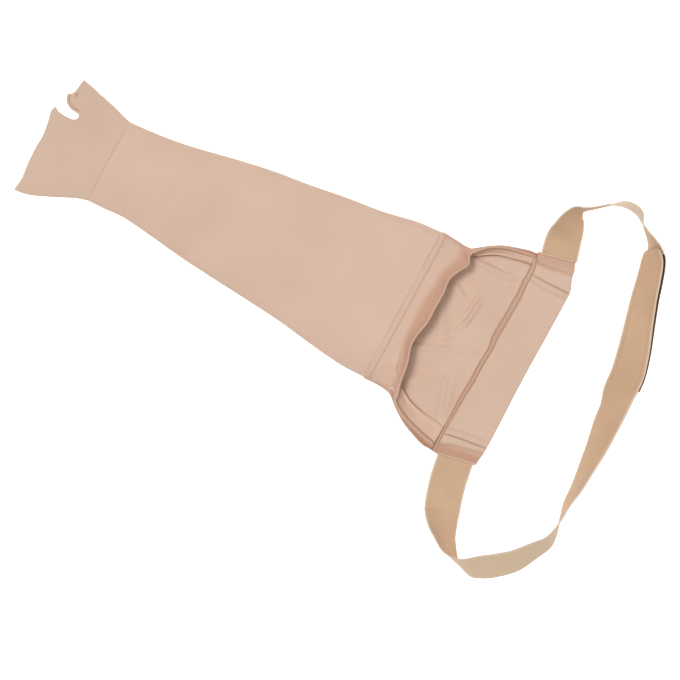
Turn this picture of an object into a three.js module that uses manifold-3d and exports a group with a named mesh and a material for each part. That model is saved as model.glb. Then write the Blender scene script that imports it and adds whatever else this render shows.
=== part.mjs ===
// Arm compression sleeve with a hand piece, a shoulder panel and an adjustable strap, lying flat.
// Millimetres. +X runs from the wrist to the shoulder, +Y towards the thumb's side, +Z is up.
// The origin is under the narrowest place of the wrist, on the surface that the sleeve lies on.
import * as THREE from 'three';
import { mergeVertices } from 'three/addons/utils/BufferGeometryUtils.js';
import Module from 'manifold-3d';

// Cloth, webbing and gaps
const FABRIC = 1.2;
const STRAP_THICKNESS = 1.5;
const TAPE_THICKNESS = 1.2;
const CLEARANCE = 0.3;

// Hand piece
const WRIST_TO_SEAM = 20;
const HAND_LENGTH = 74;
const PALM_WIDTH = 97;
const HAND_HEIGHT = 10;
const THUMB_LENGTH = 46;
const THUMB_WIDTH = 32;
const THUMB_HEIGHT = 9.4;

// Arm tube, from the wrist seam to the stitch line under the opening
const ARM_LENGTH = 346;
const WRIST_WIDTH = 95;
const WRIST_HEIGHT = 11;
const UPPER_ARM_WIDTH = 174;
const UPPER_ARM_HEIGHT = 21;
const ARM_DRIFT = 14;
const FOLD_HEIGHT = 4;
const FOLD_DEPTH = 8;

// Opening, from the stitch line to the shoulder seam
const PANEL_LENGTH = 104;
const SHOULDER_WIDTH = 239;
const SHOULDER_DRIFT = 12.5;
const LIP_HEIGHT = 34;
const HEM_DEPTH = 24;

// Shoulder band with a tab at each end, and the seam that joins it to the panel
const SEAM_WIDTH = 4.4;
const SEAM_HEIGHT = 3.2;
const BAND_DEPTH = 43;
const BAND_HEIGHT = 3.6;

// Strap
const STRAP_WIDTH = 38;
const STRAP_REACH = 130;
const INSERT_LENGTH = 12;
const TAPE_WIDTH = 34;

// Where the hand piece, the panel and the shoulder band begin
const WRIST_SEAM_X = -WRIST_TO_SEAM;
const STITCH_X = WRIST_SEAM_X + ARM_LENGTH;
const SHOULDER_X = STITCH_X + PANEL_LENGTH;
const TAB_X = SHOULDER_X + SEAM_WIDTH / 2 + BAND_DEPTH / 2;
const TAB_HEIGHT = 2 * (FABRIC + CLEARANCE) + STRAP_THICKNESS;
const INSERT_SHARE = INSERT_LENGTH / SHOULDER_WIDTH;

// Arm tube along its length: how far it has widened, drifted and risen from wrist to upper arm
const ARM = [
  { along: 0.00, widened: 0.01, drifted: -0.04, risen: 0.00 },
  { along: 0.06, widened: 0.00, drifted: 0.02, risen: 0.02 },
  { along: 0.12, widened: 0.01, drifted: 0.14, risen: 0.06 },
  { along: 0.17, widened: 0.06, drifted: 0.18, risen: 0.12 },
  { along: 0.23, widened: 0.14, drifted: 0.24, risen: 0.20 },
  { along: 0.35, widened: 0.32, drifted: 0.40, risen: 0.38 },
  { along: 0.46, widened: 0.45, drifted: 0.55, risen: 0.52 },
  { along: 0.58, widened: 0.56, drifted: 0.65, risen: 0.64 },
  { along: 0.69, widened: 0.68, drifted: 0.76, risen: 0.76 },
  { along: 0.81, widened: 0.82, drifted: 0.76, risen: 0.88 },
  { along: 0.92, widened: 0.97, drifted: 0.90, risen: 0.97 },
  { along: 1.00, widened: 1.00, drifted: 1.00, risen: 1.00 },
];

// Panel behind the opening: how far it has flared from the upper arm to the shoulder, and how far
// its high side is pulled in, as a share of the shoulder's width
const PANEL = [
  { along: 0.00, flared: 0.00, pulled: 0.000 },
  { along: 0.12, flared: -0.02, pulled: 0.000 },
  { along: 0.23, flared: -0.01, pulled: 0.005 },
  { along: 0.32, flared: 0.06, pulled: 0.017 },
  { along: 0.42, flared: 0.31, pulled: 0.020 },
  { along: 0.52, flared: 0.53, pulled: 0.017 },
  { along: 0.62, flared: 0.70, pulled: 0.015 },
  { along: 0.72, flared: 0.82, pulled: 0.015 },
  { along: 0.82, flared: 0.93, pulled: 0.016 },
  { along: 0.91, flared: 0.98, pulled: 0.011 },
  { along: 1.00, flared: 1.00, pulled: 0.000 },
];

// Shoulder seam: how far it bows towards the band, as shares of the band's depth
const SEAM = [
  { across: -1.0, bow: -0.02 },
  { across: -0.9, bow: -0.06 },
  { across: -0.5, bow: -0.05 },
  { across: 0.0, bow: -0.02 },
  { across: 0.5, bow: 0.02 },
  { across: 0.8, bow: 0.05 },
  { across: 0.9, bow: 0.01 },
  { across: 1.0, bow: -0.10 },
];

// Hand piece: shares of its length from the seam, and its sides as shares of the palm's width
const PALM = [
  { along: 0.00, low: -0.500, high: 0.490, raised: 1.00 },
  { along: 0.14, low: -0.531, high: 0.510, raised: 0.97 },
  { along: 0.27, low: -0.577, high: 0.535, raised: 0.94 },
  { along: 0.40, low: -0.622, high: 0.554, raised: 0.92 },
  { along: 0.50, low: -0.655, high: 0.470, raised: 0.92 },
  { along: 0.60, low: -0.690, high: 0.340, raised: 0.92 },
  { along: 0.70, low: -0.726, high: 0.235, raised: 0.92 },
  { along: 0.84, low: -0.765, high: 0.200, raised: 0.94 },
  { along: 1.00, low: -0.775, high: 0.212, raised: 1.00 },
];
const PALM_EDGE_LEAN = -0.028;

// Thumb: shares of its length from its root, and of the palm's and thumb's widths
const THUMB = [
  { along: 0.00, centre: 0.250, wide: 1.30, turned: 0.00, raised: 0.80 },
  { along: 0.25, centre: 0.358, wide: 1.22, turned: 0.10, raised: 0.92 },
  { along: 0.50, centre: 0.412, wide: 1.10, turned: 0.35, raised: 0.98 },
  { along: 0.72, centre: 0.455, wide: 1.00, turned: 0.70, raised: 0.98 },
  { along: 1.00, centre: 0.512, wide: 0.91, turned: 1.00, raised: 1.00 },
];
const THUMB_TURN = THREE.MathUtils.degToRad(21);
const THUMB_ROOT = 0.29;
// Thumb's inner floor lies this little above the palm's, so that the two faces never coincide
const THUMB_LIFT = 0.02;

// Rim of the opening, from the tab on the low side over the lip to the tab on the high side.
// foot: share of the panel's length along the side fold, or null where the foot is on the stitch line.
// arch: place on the stitch line, from -0.5 to 0.5. ahead and across: the rim, as shares of the
// panel's length and half the shoulder's width. up: share of the lip's height. side: 1 on the sides.
const RIM = [
  { foot: 0.965, arch: -0.5, ahead: 0.945, across: -0.925, up: 0.22, side: 1 },
  { foot: 0.880, arch: -0.5, ahead: 0.835, across: -0.904, up: 0.32, side: 1 },
  { foot: 0.790, arch: -0.5, ahead: 0.727, across: -0.881, up: 0.42, side: 1 },
  { foot: 0.683, arch: -0.5, ahead: 0.607, across: -0.849, up: 0.52, side: 1 },
  { foot: 0.566, arch: -0.5, ahead: 0.500, across: -0.806, up: 0.62, side: 1 },
  { foot: 0.447, arch: -0.5, ahead: 0.435, across: -0.775, up: 0.70, side: 0.9 },
  { foot: 0.300, arch: -0.5, ahead: 0.400, across: -0.750, up: 0.75, side: 0.7 },
  { foot: 0.140, arch: -0.5, ahead: 0.380, across: -0.727, up: 0.79, side: 0.45 },
  { foot: null, arch: -0.495, ahead: 0.365, across: -0.695, up: 0.82, side: 0.25 },
  { foot: null, arch: -0.39, ahead: 0.348, across: -0.640, up: 0.86, side: 0 },
  { foot: null, arch: -0.30, ahead: 0.330, across: -0.560, up: 0.90, side: 0 },
  { foot: null, arch: -0.20, ahead: 0.305, across: -0.420, up: 0.96, side: 0 },
  { foot: null, arch: -0.13, ahead: 0.254, across: -0.272, up: 0.98, side: 0 },
  { foot: null, arch: -0.08, ahead: 0.258, across: -0.160, up: 1.00, side: 0 },
  { foot: null, arch: -0.02, ahead: 0.287, across: -0.030, up: 0.99, side: 0 },
  { foot: null, arch: 0.05, ahead: 0.287, across: 0.120, up: 1.00, side: 0 },
  { foot: null, arch: 0.12, ahead: 0.290, across: 0.270, up: 1.00, side: 0 },
  { foot: null, arch: 0.18, ahead: 0.275, across: 0.405, up: 0.97, side: 0 },
  { foot: null, arch: 0.26, ahead: 0.325, across: 0.530, up: 0.92, side: 0 },
  { foot: null, arch: 0.34, ahead: 0.360, across: 0.610, up: 0.88, side: 0 },
  { foot: null, arch: 0.42, ahead: 0.350, across: 0.675, up: 0.84, side: 0 },
  { foot: null, arch: 0.495, ahead: 0.362, across: 0.705, up: 0.80, side: 0.25 },
  { foot: 0.180, arch: 0.5, ahead: 0.385, across: 0.726, up: 0.76, side: 0.5 },
  { foot: 0.340, arch: 0.5, ahead: 0.415, across: 0.752, up: 0.71, side: 0.75 },
  { foot: 0.460, arch: 0.5, ahead: 0.465, across: 0.790, up: 0.66, side: 0.9 },
  { foot: 0.560, arch: 0.5, ahead: 0.530, across: 0.829, up: 0.60, side: 1 },
  { foot: 0.660, arch: 0.5, ahead: 0.620, across: 0.868, up: 0.52, side: 1 },
  { foot: 0.770, arch: 0.5, ahead: 0.740, across: 0.895, up: 0.41, side: 1 },
  { foot: 0.860, arch: 0.5, ahead: 0.840, across: 0.915, up: 0.31, side: 1 },
  { foot: 0.905, arch: 0.5, ahead: 0.895, across: 0.930, up: 0.24, side: 1 },
];

// Free edge of the facing, row by row of the rim, where it shows beside the rim; same shares
const FREE_EDGE = [
  { ahead: 0.950, across: -0.770, up: 0.09 },
  { ahead: 0.835, across: -0.752, up: 0.11 },
  { ahead: 0.728, across: -0.742, up: 0.13 },
  { ahead: 0.613, across: -0.722, up: 0.15 },
  { ahead: 0.508, across: -0.690, up: 0.18 },
  { ahead: 0.430, across: -0.650, up: 0.22 },
  { ahead: 0.370, across: -0.610, up: 0.28 },
  { ahead: 0.300, across: -0.600, up: 0.34 },
  { ahead: 0.24, across: -0.600, up: 0.40 },
  { ahead: 0.2, across: -0.58, up: 0.5 },
  { ahead: 0.2, across: -0.5, up: 0.5 },
  { ahead: 0.2, across: -0.4, up: 0.5 },
  { ahead: 0.2, across: -0.3, up: 0.5 },
  { ahead: 0.2, across: -0.2, up: 0.5 },
  { ahead: 0.2, across: 0.0, up: 0.5 },
  { ahead: 0.2, across: 0.1, up: 0.5 },
  { ahead: 0.2, across: 0.3, up: 0.5 },
  { ahead: 0.2, across: 0.4, up: 0.5 },
  { ahead: 0.2, across: 0.5, up: 0.5 },
  { ahead: 0.2, across: 0.55, up: 0.5 },
  { ahead: 0.22, across: 0.6, up: 0.45 },
  { ahead: 0.27, across: 0.63, up: 0.36 },
  { ahead: 0.34, across: 0.655, up: 0.30 },
  { ahead: 0.41, across: 0.690, up: 0.26 },
  { ahead: 0.475, across: 0.730, up: 0.24 },
  { ahead: 0.545, across: 0.770, up: 0.22 },
  { ahead: 0.635, across: 0.806, up: 0.20 },
  { ahead: 0.750, across: 0.830, up: 0.17 },
  { ahead: 0.845, across: 0.850, up: 0.14 },
  { ahead: 0.900, across: 0.868, up: 0.12 },
];

// Strap from the high tab to the low tab. at: share of its route. ahead: shares of the strap's reach
// past the tabs' middle. along: place between the low tab (0) and the high tab (1). lean: degrees that
// its outer side is raised, 90 where it stands on its edge and more where it leans over inwards.
const STRAP = [
  { at: 0.000, ahead: -0.050, along: 1.000, lean: 0 },
  { at: 0.022, ahead: -0.084, along: 1.070, lean: 12 },
  { at: 0.039, ahead: -0.090, along: 1.123, lean: 31 },
  { at: 0.053, ahead: -0.095, along: 1.163, lean: 45 },
  { at: 0.067, ahead: -0.091, along: 1.202, lean: 63 },
  { at: 0.080, ahead: -0.062, along: 1.231, lean: 81 },
  { at: 0.097, ahead: 0.011, along: 1.261, lean: 93 },
  { at: 0.119, ahead: 0.105, along: 1.303, lean: 98 },
  { at: 0.146, ahead: 0.229, along: 1.341, lean: 102 },
  { at: 0.171, ahead: 0.345, along: 1.336, lean: 104 },
  { at: 0.189, ahead: 0.411, along: 1.300, lean: 94 },
  { at: 0.209, ahead: 0.497, along: 1.263, lean: 81 },
  { at: 0.233, ahead: 0.589, along: 1.221, lean: 67 },
  { at: 0.248, ahead: 0.635, along: 1.182, lean: 58 },
  { at: 0.276, ahead: 0.682, along: 1.103, lean: 53 },
  { at: 0.307, ahead: 0.723, along: 1.016, lean: 49 },
  { at: 0.351, ahead: 0.794, along: 0.891, lean: 42 },
  { at: 0.390, ahead: 0.857, along: 0.778, lean: 33 },
  { at: 0.422, ahead: 0.896, along: 0.685, lean: 28 },
  { at: 0.447, ahead: 0.906, along: 0.609, lean: 31 },
  { at: 0.474, ahead: 0.926, along: 0.529, lean: 43 },
  { at: 0.498, ahead: 0.930, along: 0.457, lean: 47 },
  { at: 0.533, ahead: 0.949, along: 0.349, lean: 57 },
  { at: 0.568, ahead: 0.957, along: 0.247, lean: 66 },
  { at: 0.604, ahead: 0.964, along: 0.136, lean: 75 },
  { at: 0.628, ahead: 0.957, along: 0.063, lean: 81 },
  { at: 0.655, ahead: 0.970, along: -0.013, lean: 90 },
  { at: 0.679, ahead: 0.978, along: -0.086, lean: 102 },
  { at: 0.697, ahead: 0.963, along: -0.136, lean: 111 },
  { at: 0.720, ahead: 0.894, along: -0.196, lean: 119 },
  { at: 0.752, ahead: 0.798, along: -0.274, lean: 128 },
  { at: 0.785, ahead: 0.666, along: -0.337, lean: 131 },
  { at: 0.806, ahead: 0.575, along: -0.370, lean: 129 },
  { at: 0.822, ahead: 0.500, along: -0.384, lean: 121 },
  { at: 0.833, ahead: 0.447, along: -0.385, lean: 111 },
  { at: 0.844, ahead: 0.394, along: -0.388, lean: 92 },
  { at: 0.858, ahead: 0.315, along: -0.372, lean: 70 },
  { at: 0.877, ahead: 0.226, along: -0.338, lean: 50 },
  { at: 0.893, ahead: 0.165, along: -0.300, lean: 35 },
  { at: 0.920, ahead: 0.094, along: -0.227, lean: 13 },
  { at: 0.965, ahead: 0.027, along: -0.109, lean: 5 },
  { at: 1.000, ahead: -0.010, along: 0.000, lean: 0 },
];
// Steps along the strap's route, and those between which its two ends cross
const ROUTE_STEPS = 112;
const CROSS_START_STEPS = 26;
const CROSS_END_STEPS = 50;
const CROSS_RAMP_STEPS = 6;
const TAB_SHARE = 0.03;

// Shoulder band's free edge, from the low tab (0) to the high tab (1), as shares of its depth
const BAND_EDGE = [
  { along: 0.00, ahead: 0.00 },
  { along: 0.06, ahead: 0.08 },
  { along: 0.18, ahead: 0.08 },
  { along: 0.42, ahead: 0.03 },
  { along: 0.62, ahead: 0.01 },
  { along: 0.80, ahead: 0.01 },
  { along: 0.90, ahead: 0.00 },
  { along: 1.00, ahead: -0.03 },
];
const LOW_TAB_SLANT = 0.21;
const HIGH_TAB_SLANT = 0.25;

const lerp = THREE.MathUtils.lerp;
const clamp = THREE.MathUtils.clamp;

// Reads a column of a table smoothly at a place given in another, rising column
function sample(table, key, column, at) {
  const last = table.length - 1;
  let i = 0;
  while (i < last - 1 && at > table[i + 1][key]) i += 1;
  const [a, b] = [table[i], table[i + 1]];
  const gap = b[key] - a[key];
  const slope = (k) => {
    const [from, to] = [table[Math.max(k - 1, 0)], table[Math.min(k + 1, last)]];
    return gap * (to[column] - from[column]) / (to[key] - from[key]);
  };
  return cubic(a[column], b[column], slope(i), slope(i + 1), clamp((at - a[key]) / gap, 0, 1));
}

// Cubic curve between two values with given slopes
function cubic(a, b, from, to, t) {
  const [t2, t3] = [t * t, t * t * t];
  return a * (2 * t3 - 3 * t2 + 1) + from * (t3 - 2 * t2 + t) + b * (3 * t2 - 2 * t3) + to * (t3 - t2);
}

// Smooth curve through four neighbouring rows of a column
function between(table, column, i, t) {
  const value = (k) => table[clamp(k, 0, table.length - 1)][column];
  const [a, b] = [value(i), value(i + 1)];
  return cubic(a, b, (b - value(i - 1)) / 2, (value(i + 2) - a) / 2, t);
}

// Half width, middle and height of the arm tube at x
function armSection(x) {
  const along = (x - WRIST_SEAM_X) / ARM_LENGTH;
  const widened = sample(ARM, 'along', 'widened', along);
  const risen = sample(ARM, 'along', 'risen', along);
  return {
    half: lerp(WRIST_WIDTH, UPPER_ARM_WIDTH, widened) / 2,
    middle: ARM_DRIFT * sample(ARM, 'along', 'drifted', along),
    height: lerp(WRIST_HEIGHT, UPPER_ARM_HEIGHT, risen),
  };
}

// Half width and middle of the panel behind the opening at x
function panelSection(x) {
  const along = (x - STITCH_X) / PANEL_LENGTH;
  const flared = sample(PANEL, 'along', 'flared', along);
  const pulled = SHOULDER_WIDTH * sample(PANEL, 'along', 'pulled', along);
  return {
    half: (lerp(UPPER_ARM_WIDTH, SHOULDER_WIDTH, flared) - pulled) / 2,
    middle: lerp(ARM_DRIFT, SHOULDER_DRIFT, flared) - pulled / 2,
    height: UPPER_ARM_HEIGHT,
  };
}

// Outline of a flattened tube. at goes round it: 0 on top, 0.5 and -0.5 at the folds, 1 below.
// inset moves it inwards by a cloth's thickness.
function outline(section, at, inset = 0) {
  const half = section.half - inset;
  const fold = FOLD_HEIGHT - inset;
  const corner = FOLD_DEPTH - inset;
  const rise = section.height - inset - FOLD_HEIGHT;
  const side = Math.sign(at);
  const round = Math.abs(at);
  if (round <= 0.5) {
    const angle = Math.PI * round;
    const arch = Math.cos(angle) * Math.sqrt(1 + Math.sin(angle) ** 2);
    return { across: side * half * Math.sin(angle), up: FOLD_HEIGHT + rise * arch };
  }
  const below = (round - 0.5) / 0.5;
  const cornerShare = 0.3;
  if (below < cornerShare) {
    const angle = (below / cornerShare) * Math.PI / 2;
    const across = half - corner + corner * Math.cos(angle);
    return { across: side * across, up: inset + fold - fold * Math.sin(angle) };
  }
  const flat = (1 - below) / (1 - cornerShare);
  return { across: side * (half - corner) * flat, up: inset };
}

// Seam's place ahead at a share across the shoulder
function seamX(across) {
  return SHOULDER_X + BAND_DEPTH * sample(SEAM, 'across', 'bow', across);
}

// Closed solid between two grids of points, an outer and an inner one, where keep says so.
// wrap closes the grid's first direction into a ring.
function shell(rows, columns, outer, inner, keep = () => true, wrap = false) {
  const positions = [];
  const outerAt = [];
  const innerAt = [];
  for (let i = 0; i < rows; i += 1) {
    for (let j = 0; j < columns; j += 1) {
      outerAt.push(positions.length / 3);
      positions.push(...outer(i, j));
      innerAt.push(positions.length / 3);
      positions.push(...inner(i, j));
    }
  }
  const steps = wrap ? rows : rows - 1;
  const kept = (i, j) => {
    if (j < 0 || j >= columns - 1) return false;
    if (!wrap && (i < 0 || i >= steps)) return false;
    return keep((i + rows) % rows, j);
  };
  const index = [];
  const quad = (a, b, c, d) => index.push(a, b, c, a, c, d);
  for (let i = 0; i < steps; i += 1) {
    for (let j = 0; j < columns - 1; j += 1) {
      if (!kept(i, j)) continue;
      const next = (i + 1) % rows;
      const [a, b] = [i * columns + j, next * columns + j];
      const [c, d] = [b + 1, a + 1];
      quad(outerAt[a], outerAt[b], outerAt[c], outerAt[d]);
      quad(innerAt[a], innerAt[d], innerAt[c], innerAt[b]);
      if (!kept(i, j - 1)) quad(outerAt[b], outerAt[a], innerAt[a], innerAt[b]);
      if (!kept(i, j + 1)) quad(outerAt[d], outerAt[c], innerAt[c], innerAt[d]);
      if (!kept(i - 1, j)) quad(outerAt[a], outerAt[d], innerAt[d], innerAt[a]);
      if (!kept(i + 1, j)) quad(outerAt[c], outerAt[b], innerAt[b], innerAt[c]);
    }
  }
  return geometryOf(positions, index);
}

// Closed solid through rings of points, capped at both ends
function loft(rings) {
  const count = rings[0].length;
  const positions = rings.flat(2);
  const index = [];
  for (let k = 0; k < rings.length - 1; k += 1) {
    for (let i = 0; i < count; i += 1) {
      const [a, b] = [k * count + i, k * count + (i + 1) % count];
      index.push(a, b, b + count, a, b + count, a + count);
    }
  }
  for (const [k, turned] of [[0, true], [rings.length - 1, false]]) {
    const middle = rings[k].reduce((sum, p) => sum.map((v, n) => v + p[n] / count), [0, 0, 0]);
    const centre = positions.length / 3;
    positions.push(...middle);
    for (let i = 0; i < count; i += 1) {
      const [a, b] = [k * count + i, k * count + (i + 1) % count];
      index.push(centre, turned ? b : a, turned ? a : b);
    }
  }
  return geometryOf(positions, index);
}

// Geometry from points and triangles without the unused points, with its faces pointing out
function geometryOf(positions, index) {
  const geometry = new THREE.BufferGeometry();
  geometry.setAttribute('position', new THREE.Float32BufferAttribute(positions, 3));
  geometry.setIndex(index);
  const plain = geometry.toNonIndexed();
  const merged = mergeVertices(plain, 1e-4);
  const corner = [new THREE.Vector3(), new THREE.Vector3(), new THREE.Vector3()];
  const faces = Array.from(merged.index.array);
  let volume = 0;
  for (let k = 0; k < faces.length; k += 3) {
    corner.forEach((v, n) => v.fromBufferAttribute(merged.attributes.position, faces[k + n]));
    volume += corner[0].dot(corner[1].cross(corner[2]));
  }
  if (volume < 0) {
    for (let k = 0; k < faces.length; k += 3) [faces[k], faces[k + 1]] = [faces[k + 1], faces[k]];
    merged.setIndex(faces);
  }
  return merged;
}

const wasm = await Module();
wasm.setup();

// Solid for cutting and joining from a closed geometry
function toManifold(geometry) {
  const vertProperties = Float32Array.from(geometry.attributes.position.array);
  const triVerts = Uint32Array.from(geometry.index.array);
  return new wasm.Manifold(new wasm.Mesh({ numProp: 3, vertProperties, triVerts }));
}

function fromManifold(solid) {
  const mesh = solid.getMesh();
  return geometryOf(Array.from(mesh.vertProperties), Array.from(mesh.triVerts));
}

// Places round a flattened tube, closer together at its folds
const ROUND = [
  -0.93, -0.85, -0.77, -0.70, -0.65, -0.60, -0.55, -0.5, -0.46, -0.41, -0.35, -0.28, -0.2, -0.1,
  0, 0.1, 0.2, 0.28, 0.35, 0.41, 0.46, 0.5, 0.55, 0.60, 0.65, 0.70, 0.77, 0.85, 0.93, 1,
];

// Ring of the hand piece's palm at a share of its length
function palmRing(along, past, inset) {
  const low = sample(PALM, 'along', 'low', along) * PALM_WIDTH;
  const high = sample(PALM, 'along', 'high', along) * PALM_WIDTH;
  const section = {
    half: (high - low) / 2,
    height: HAND_HEIGHT * sample(PALM, 'along', 'raised', along),
  };
  const middle = (high + low) / 2;
  const x = WRIST_SEAM_X - CLEARANCE / 2 - HAND_LENGTH * along - past;
  return ROUND.map((at) => {
    const p = outline(section, at, inset);
    return [x + PALM_EDGE_LEAN * along * p.across, middle + p.across, p.up];
  });
}

// Ring of the thumb at a share of its length
function thumbRing(along, past, inset) {
  const turn = THUMB_TURN * sample(THUMB, 'along', 'turned', along);
  const section = {
    half: THUMB_WIDTH * sample(THUMB, 'along', 'wide', along) / 2,
    height: THUMB_HEIGHT * sample(THUMB, 'along', 'raised', along),
  };
  const middle = PALM_WIDTH * sample(THUMB, 'along', 'centre', along);
  const x = WRIST_SEAM_X - HAND_LENGTH * THUMB_ROOT - THUMB_LENGTH * along - past;
  return ROUND.map((at) => {
    const p = outline(section, at, inset);
    const floor = inset > 0 ? THUMB_LIFT : 0;
    return [x + Math.sin(turn) * p.across, middle + Math.cos(turn) * p.across, p.up + floor];
  });
}

// Hand piece: a palm and a thumb, open at the fingers, at the thumb and at the wrist
function handPiece() {
  const palmStops = [0, 0.14, 0.27, 0.40, 0.50, 0.60, 0.70, 0.84, 1];
  const thumbStops = [0, 0.25, 0.5, 0.75, 1];
  const past = 2;
  const palmOut = palmStops.map((along) => palmRing(along, 0, 0));
  const thumbOut = thumbStops.map((along) => thumbRing(along, 0, 0));
  const palmIn = palmStops.map((along) => palmRing(along, 0, FABRIC));
  palmIn.unshift(palmRing(0, -past, FABRIC));
  palmIn.push(palmRing(1, past, FABRIC));
  const thumbIn = thumbStops.map((along) => thumbRing(along, 0, FABRIC));
  thumbIn.push(thumbRing(1, past, FABRIC));
  const outside = toManifold(loft(palmOut)).add(toManifold(loft(thumbOut)));
  const inside = toManifold(loft(palmIn)).add(toManifold(loft(thumbIn)));
  return fromManifold(outside.subtract(inside));
}

// Arm sleeve: a tube up to the stitch line, and only its back from there to the shoulder seam
function armSleeve() {
  const tubeSteps = 18;
  const panelSteps = 9;
  const tube = (j) => lerp(WRIST_SEAM_X + CLEARANCE / 2, STITCH_X - CLEARANCE / 2, j / tubeSteps);
  const point = (inset) => (i, j) => {
    const at = ROUND[i];
    if (j <= tubeSteps) {
      const x = tube(j);
      const section = armSection(x);
      const p = outline(section, at, inset);
      return [x, section.middle + p.across, p.up];
    }
    const along = (j - tubeSteps) / panelSteps;
    const shoulder = outline(panelSection(SHOULDER_X), at, inset);
    const end = seamX(shoulder.across * 2 / SHOULDER_WIDTH) - SEAM_WIDTH / 2 - CLEARANCE;
    const x = lerp(STITCH_X - CLEARANCE / 2, end, along);
    const section = panelSection(x);
    const p = outline(section, at, inset);
    return [x, section.middle + p.across, p.up];
  };
  const columns = tubeSteps + panelSteps + 1;
  const below = (i) => Math.abs(ROUND[i % ROUND.length]) >= 0.5;
  const keep = (i, j) => j < tubeSteps || (below(i) && below(i + 1));
  return shell(ROUND.length, columns, point(0), point(FABRIC), keep, true);
}

const RIM_STATIONS = 2 * (RIM.length - 1) + 1;

// One place on the rim: the foot on the sleeve, the ridge, and the facing's free edge
function rimAt(u) {
  const place = u * (RIM.length - 1);
  const i = Math.min(Math.floor(place), RIM.length - 2);
  const t = place - i;
  const footOf = (row) => {
    if (row.foot === null) {
      const section = armSection(STITCH_X);
      const p = outline(section, row.arch);
      return new THREE.Vector3(STITCH_X + CLEARANCE / 2, section.middle + p.across, p.up);
    }
    const x = STITCH_X + PANEL_LENGTH * row.foot;
    const section = panelSection(x);
    const y = section.middle + Math.sign(row.arch) * section.half;
    return new THREE.Vector3(x, y, FOLD_HEIGHT + CLEARANCE);
  };
  const foot = footBetween(i, t, footOf);
  const point = (table) => new THREE.Vector3(
    STITCH_X + PANEL_LENGTH * between(table, 'ahead', i, t),
    SHOULDER_DRIFT + SHOULDER_WIDTH / 2 * between(table, 'across', i, t),
    LIP_HEIGHT * between(table, 'up', i, t),
  );
  const side = clamp(between(RIM, 'side', i, t), 0, 1);
  return { foot, ridge: point(RIM), edge: point(FREE_EDGE), side };
}

// Foot between two rows, kept on the stitch line or on the side fold
function footBetween(i, t, footOf) {
  const [a, b] = [RIM[i], RIM[i + 1]];
  if ((a.foot === null) === (b.foot === null)) {
    const foot = a.foot === null ? null : lerp(a.foot, b.foot, t);
    return footOf({ foot, arch: lerp(a.arch, b.arch, t) });
  }
  return footOf(a).lerp(footOf(b), t);
}

// Upper band's curve from its foot to the ridge: how far its two ends hold their directions, as shares
// of the straight distance, and how level and how steep it arrives at the ridge
const FOOT_HOLD = 0.4;
const RIDGE_HOLD = 0.3;
const LEVEL_AT_LIP = 0.55;
const LEVEL_AT_SIDES = 0.75;
const STEEP = 0.7;

// Point of the upper band between its foot (0) and the ridge (1)
function bandPoint(rim, along) {
  const length = rim.foot.distanceTo(rim.ridge);
  const flat = new THREE.Vector3(rim.ridge.x - rim.foot.x, rim.ridge.y - rim.foot.y, 0).normalize();
  const up = new THREE.Vector3(0, 0, 1);
  const start = flat.clone().lerp(up, rim.side).normalize();
  const level = lerp(LEVEL_AT_LIP, LEVEL_AT_SIDES, rim.side);
  const finish = flat.clone().multiplyScalar(level).addScaledVector(up, STEEP).normalize();
  const curve = new THREE.CubicBezierCurve3(
    rim.foot,
    rim.foot.clone().addScaledVector(start, length * FOOT_HOLD),
    rim.ridge.clone().addScaledVector(finish, -length * RIDGE_HOLD),
    rim.ridge,
  );
  return curve.getPoint(along);
}

// Direction out of the cloth at a point of the band, from its neighbours
function bandNormal(u, along) {
  const step = 0.004;
  const [before, after] = [Math.max(u - step, 0), Math.min(u + step, 1)];
  const [low, high] = [Math.max(along - 0.02, 0), Math.min(along + 0.02, 1)];
  const run = bandPoint(rimAt(after), along).sub(bandPoint(rimAt(before), along));
  const rise = bandPoint(rimAt(u), high).sub(bandPoint(rimAt(u), low));
  return rise.cross(run).normalize();
}

// Upper band: the outer cloth of the doubled hem round the opening
function upperBand() {
  const stations = RIM_STATIONS;
  const steps = 6;
  const outer = (i, j) => bandPoint(rimAt(i / (stations - 1)), j / steps).toArray();
  const inner = (i, j) => {
    const [u, along] = [i / (stations - 1), j / steps];
    return bandPoint(rimAt(u), along).addScaledVector(bandNormal(u, along), -FABRIC).toArray();
  };
  return shell(stations, steps + 1, outer, inner);
}

// Hem facing: the inner cloth of the hem, under the band at the lip and showing beside it at the sides
function hemFacing() {
  const stations = RIM_STATIONS;
  const steps = 4;
  const depth = FABRIC + 2 * CLEARANCE;
  const tuckedAt = 0.95;
  const surface = (u, share) => {
    const rim = rimAt(u);
    const length = rim.foot.distanceTo(rim.ridge);
    const back = clamp(1 - share * HEM_DEPTH / length, 0.15, 1);
    const under = bandPoint(rim, back).addScaledVector(bandNormal(u, back), -depth);
    const tucked = bandPoint(rim, tuckedAt).addScaledVector(bandNormal(u, tuckedAt), -depth);
    const beside = tucked.lerp(rim.edge, share);
    return under.lerp(beside, THREE.MathUtils.smoothstep(rim.side, 0, 0.9));
  };
  const below = (u, share) => {
    const step = 0.004;
    const run = surface(Math.min(u + step, 1), share).sub(surface(Math.max(u - step, 0), share));
    const rise = surface(u, Math.min(share + 0.05, 1)).sub(surface(u, Math.max(share - 0.05, 0)));
    return run.cross(rise).normalize();
  };
  const top = (i, j) => surface(i / (stations - 1), j / steps).toArray();
  const base = (i, j) => {
    const [u, share] = [i / (stations - 1), j / steps];
    return surface(u, share).addScaledVector(below(u, share), -FABRIC).toArray();
  };
  return shell(stations, steps + 1, top, base);
}

const SHOULDER_STEPS = 24;

// Place across the shoulder's width, from -1 to 1
function shoulderY(across) {
  return SHOULDER_DRIFT + across * SHOULDER_WIDTH / 2;
}

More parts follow.
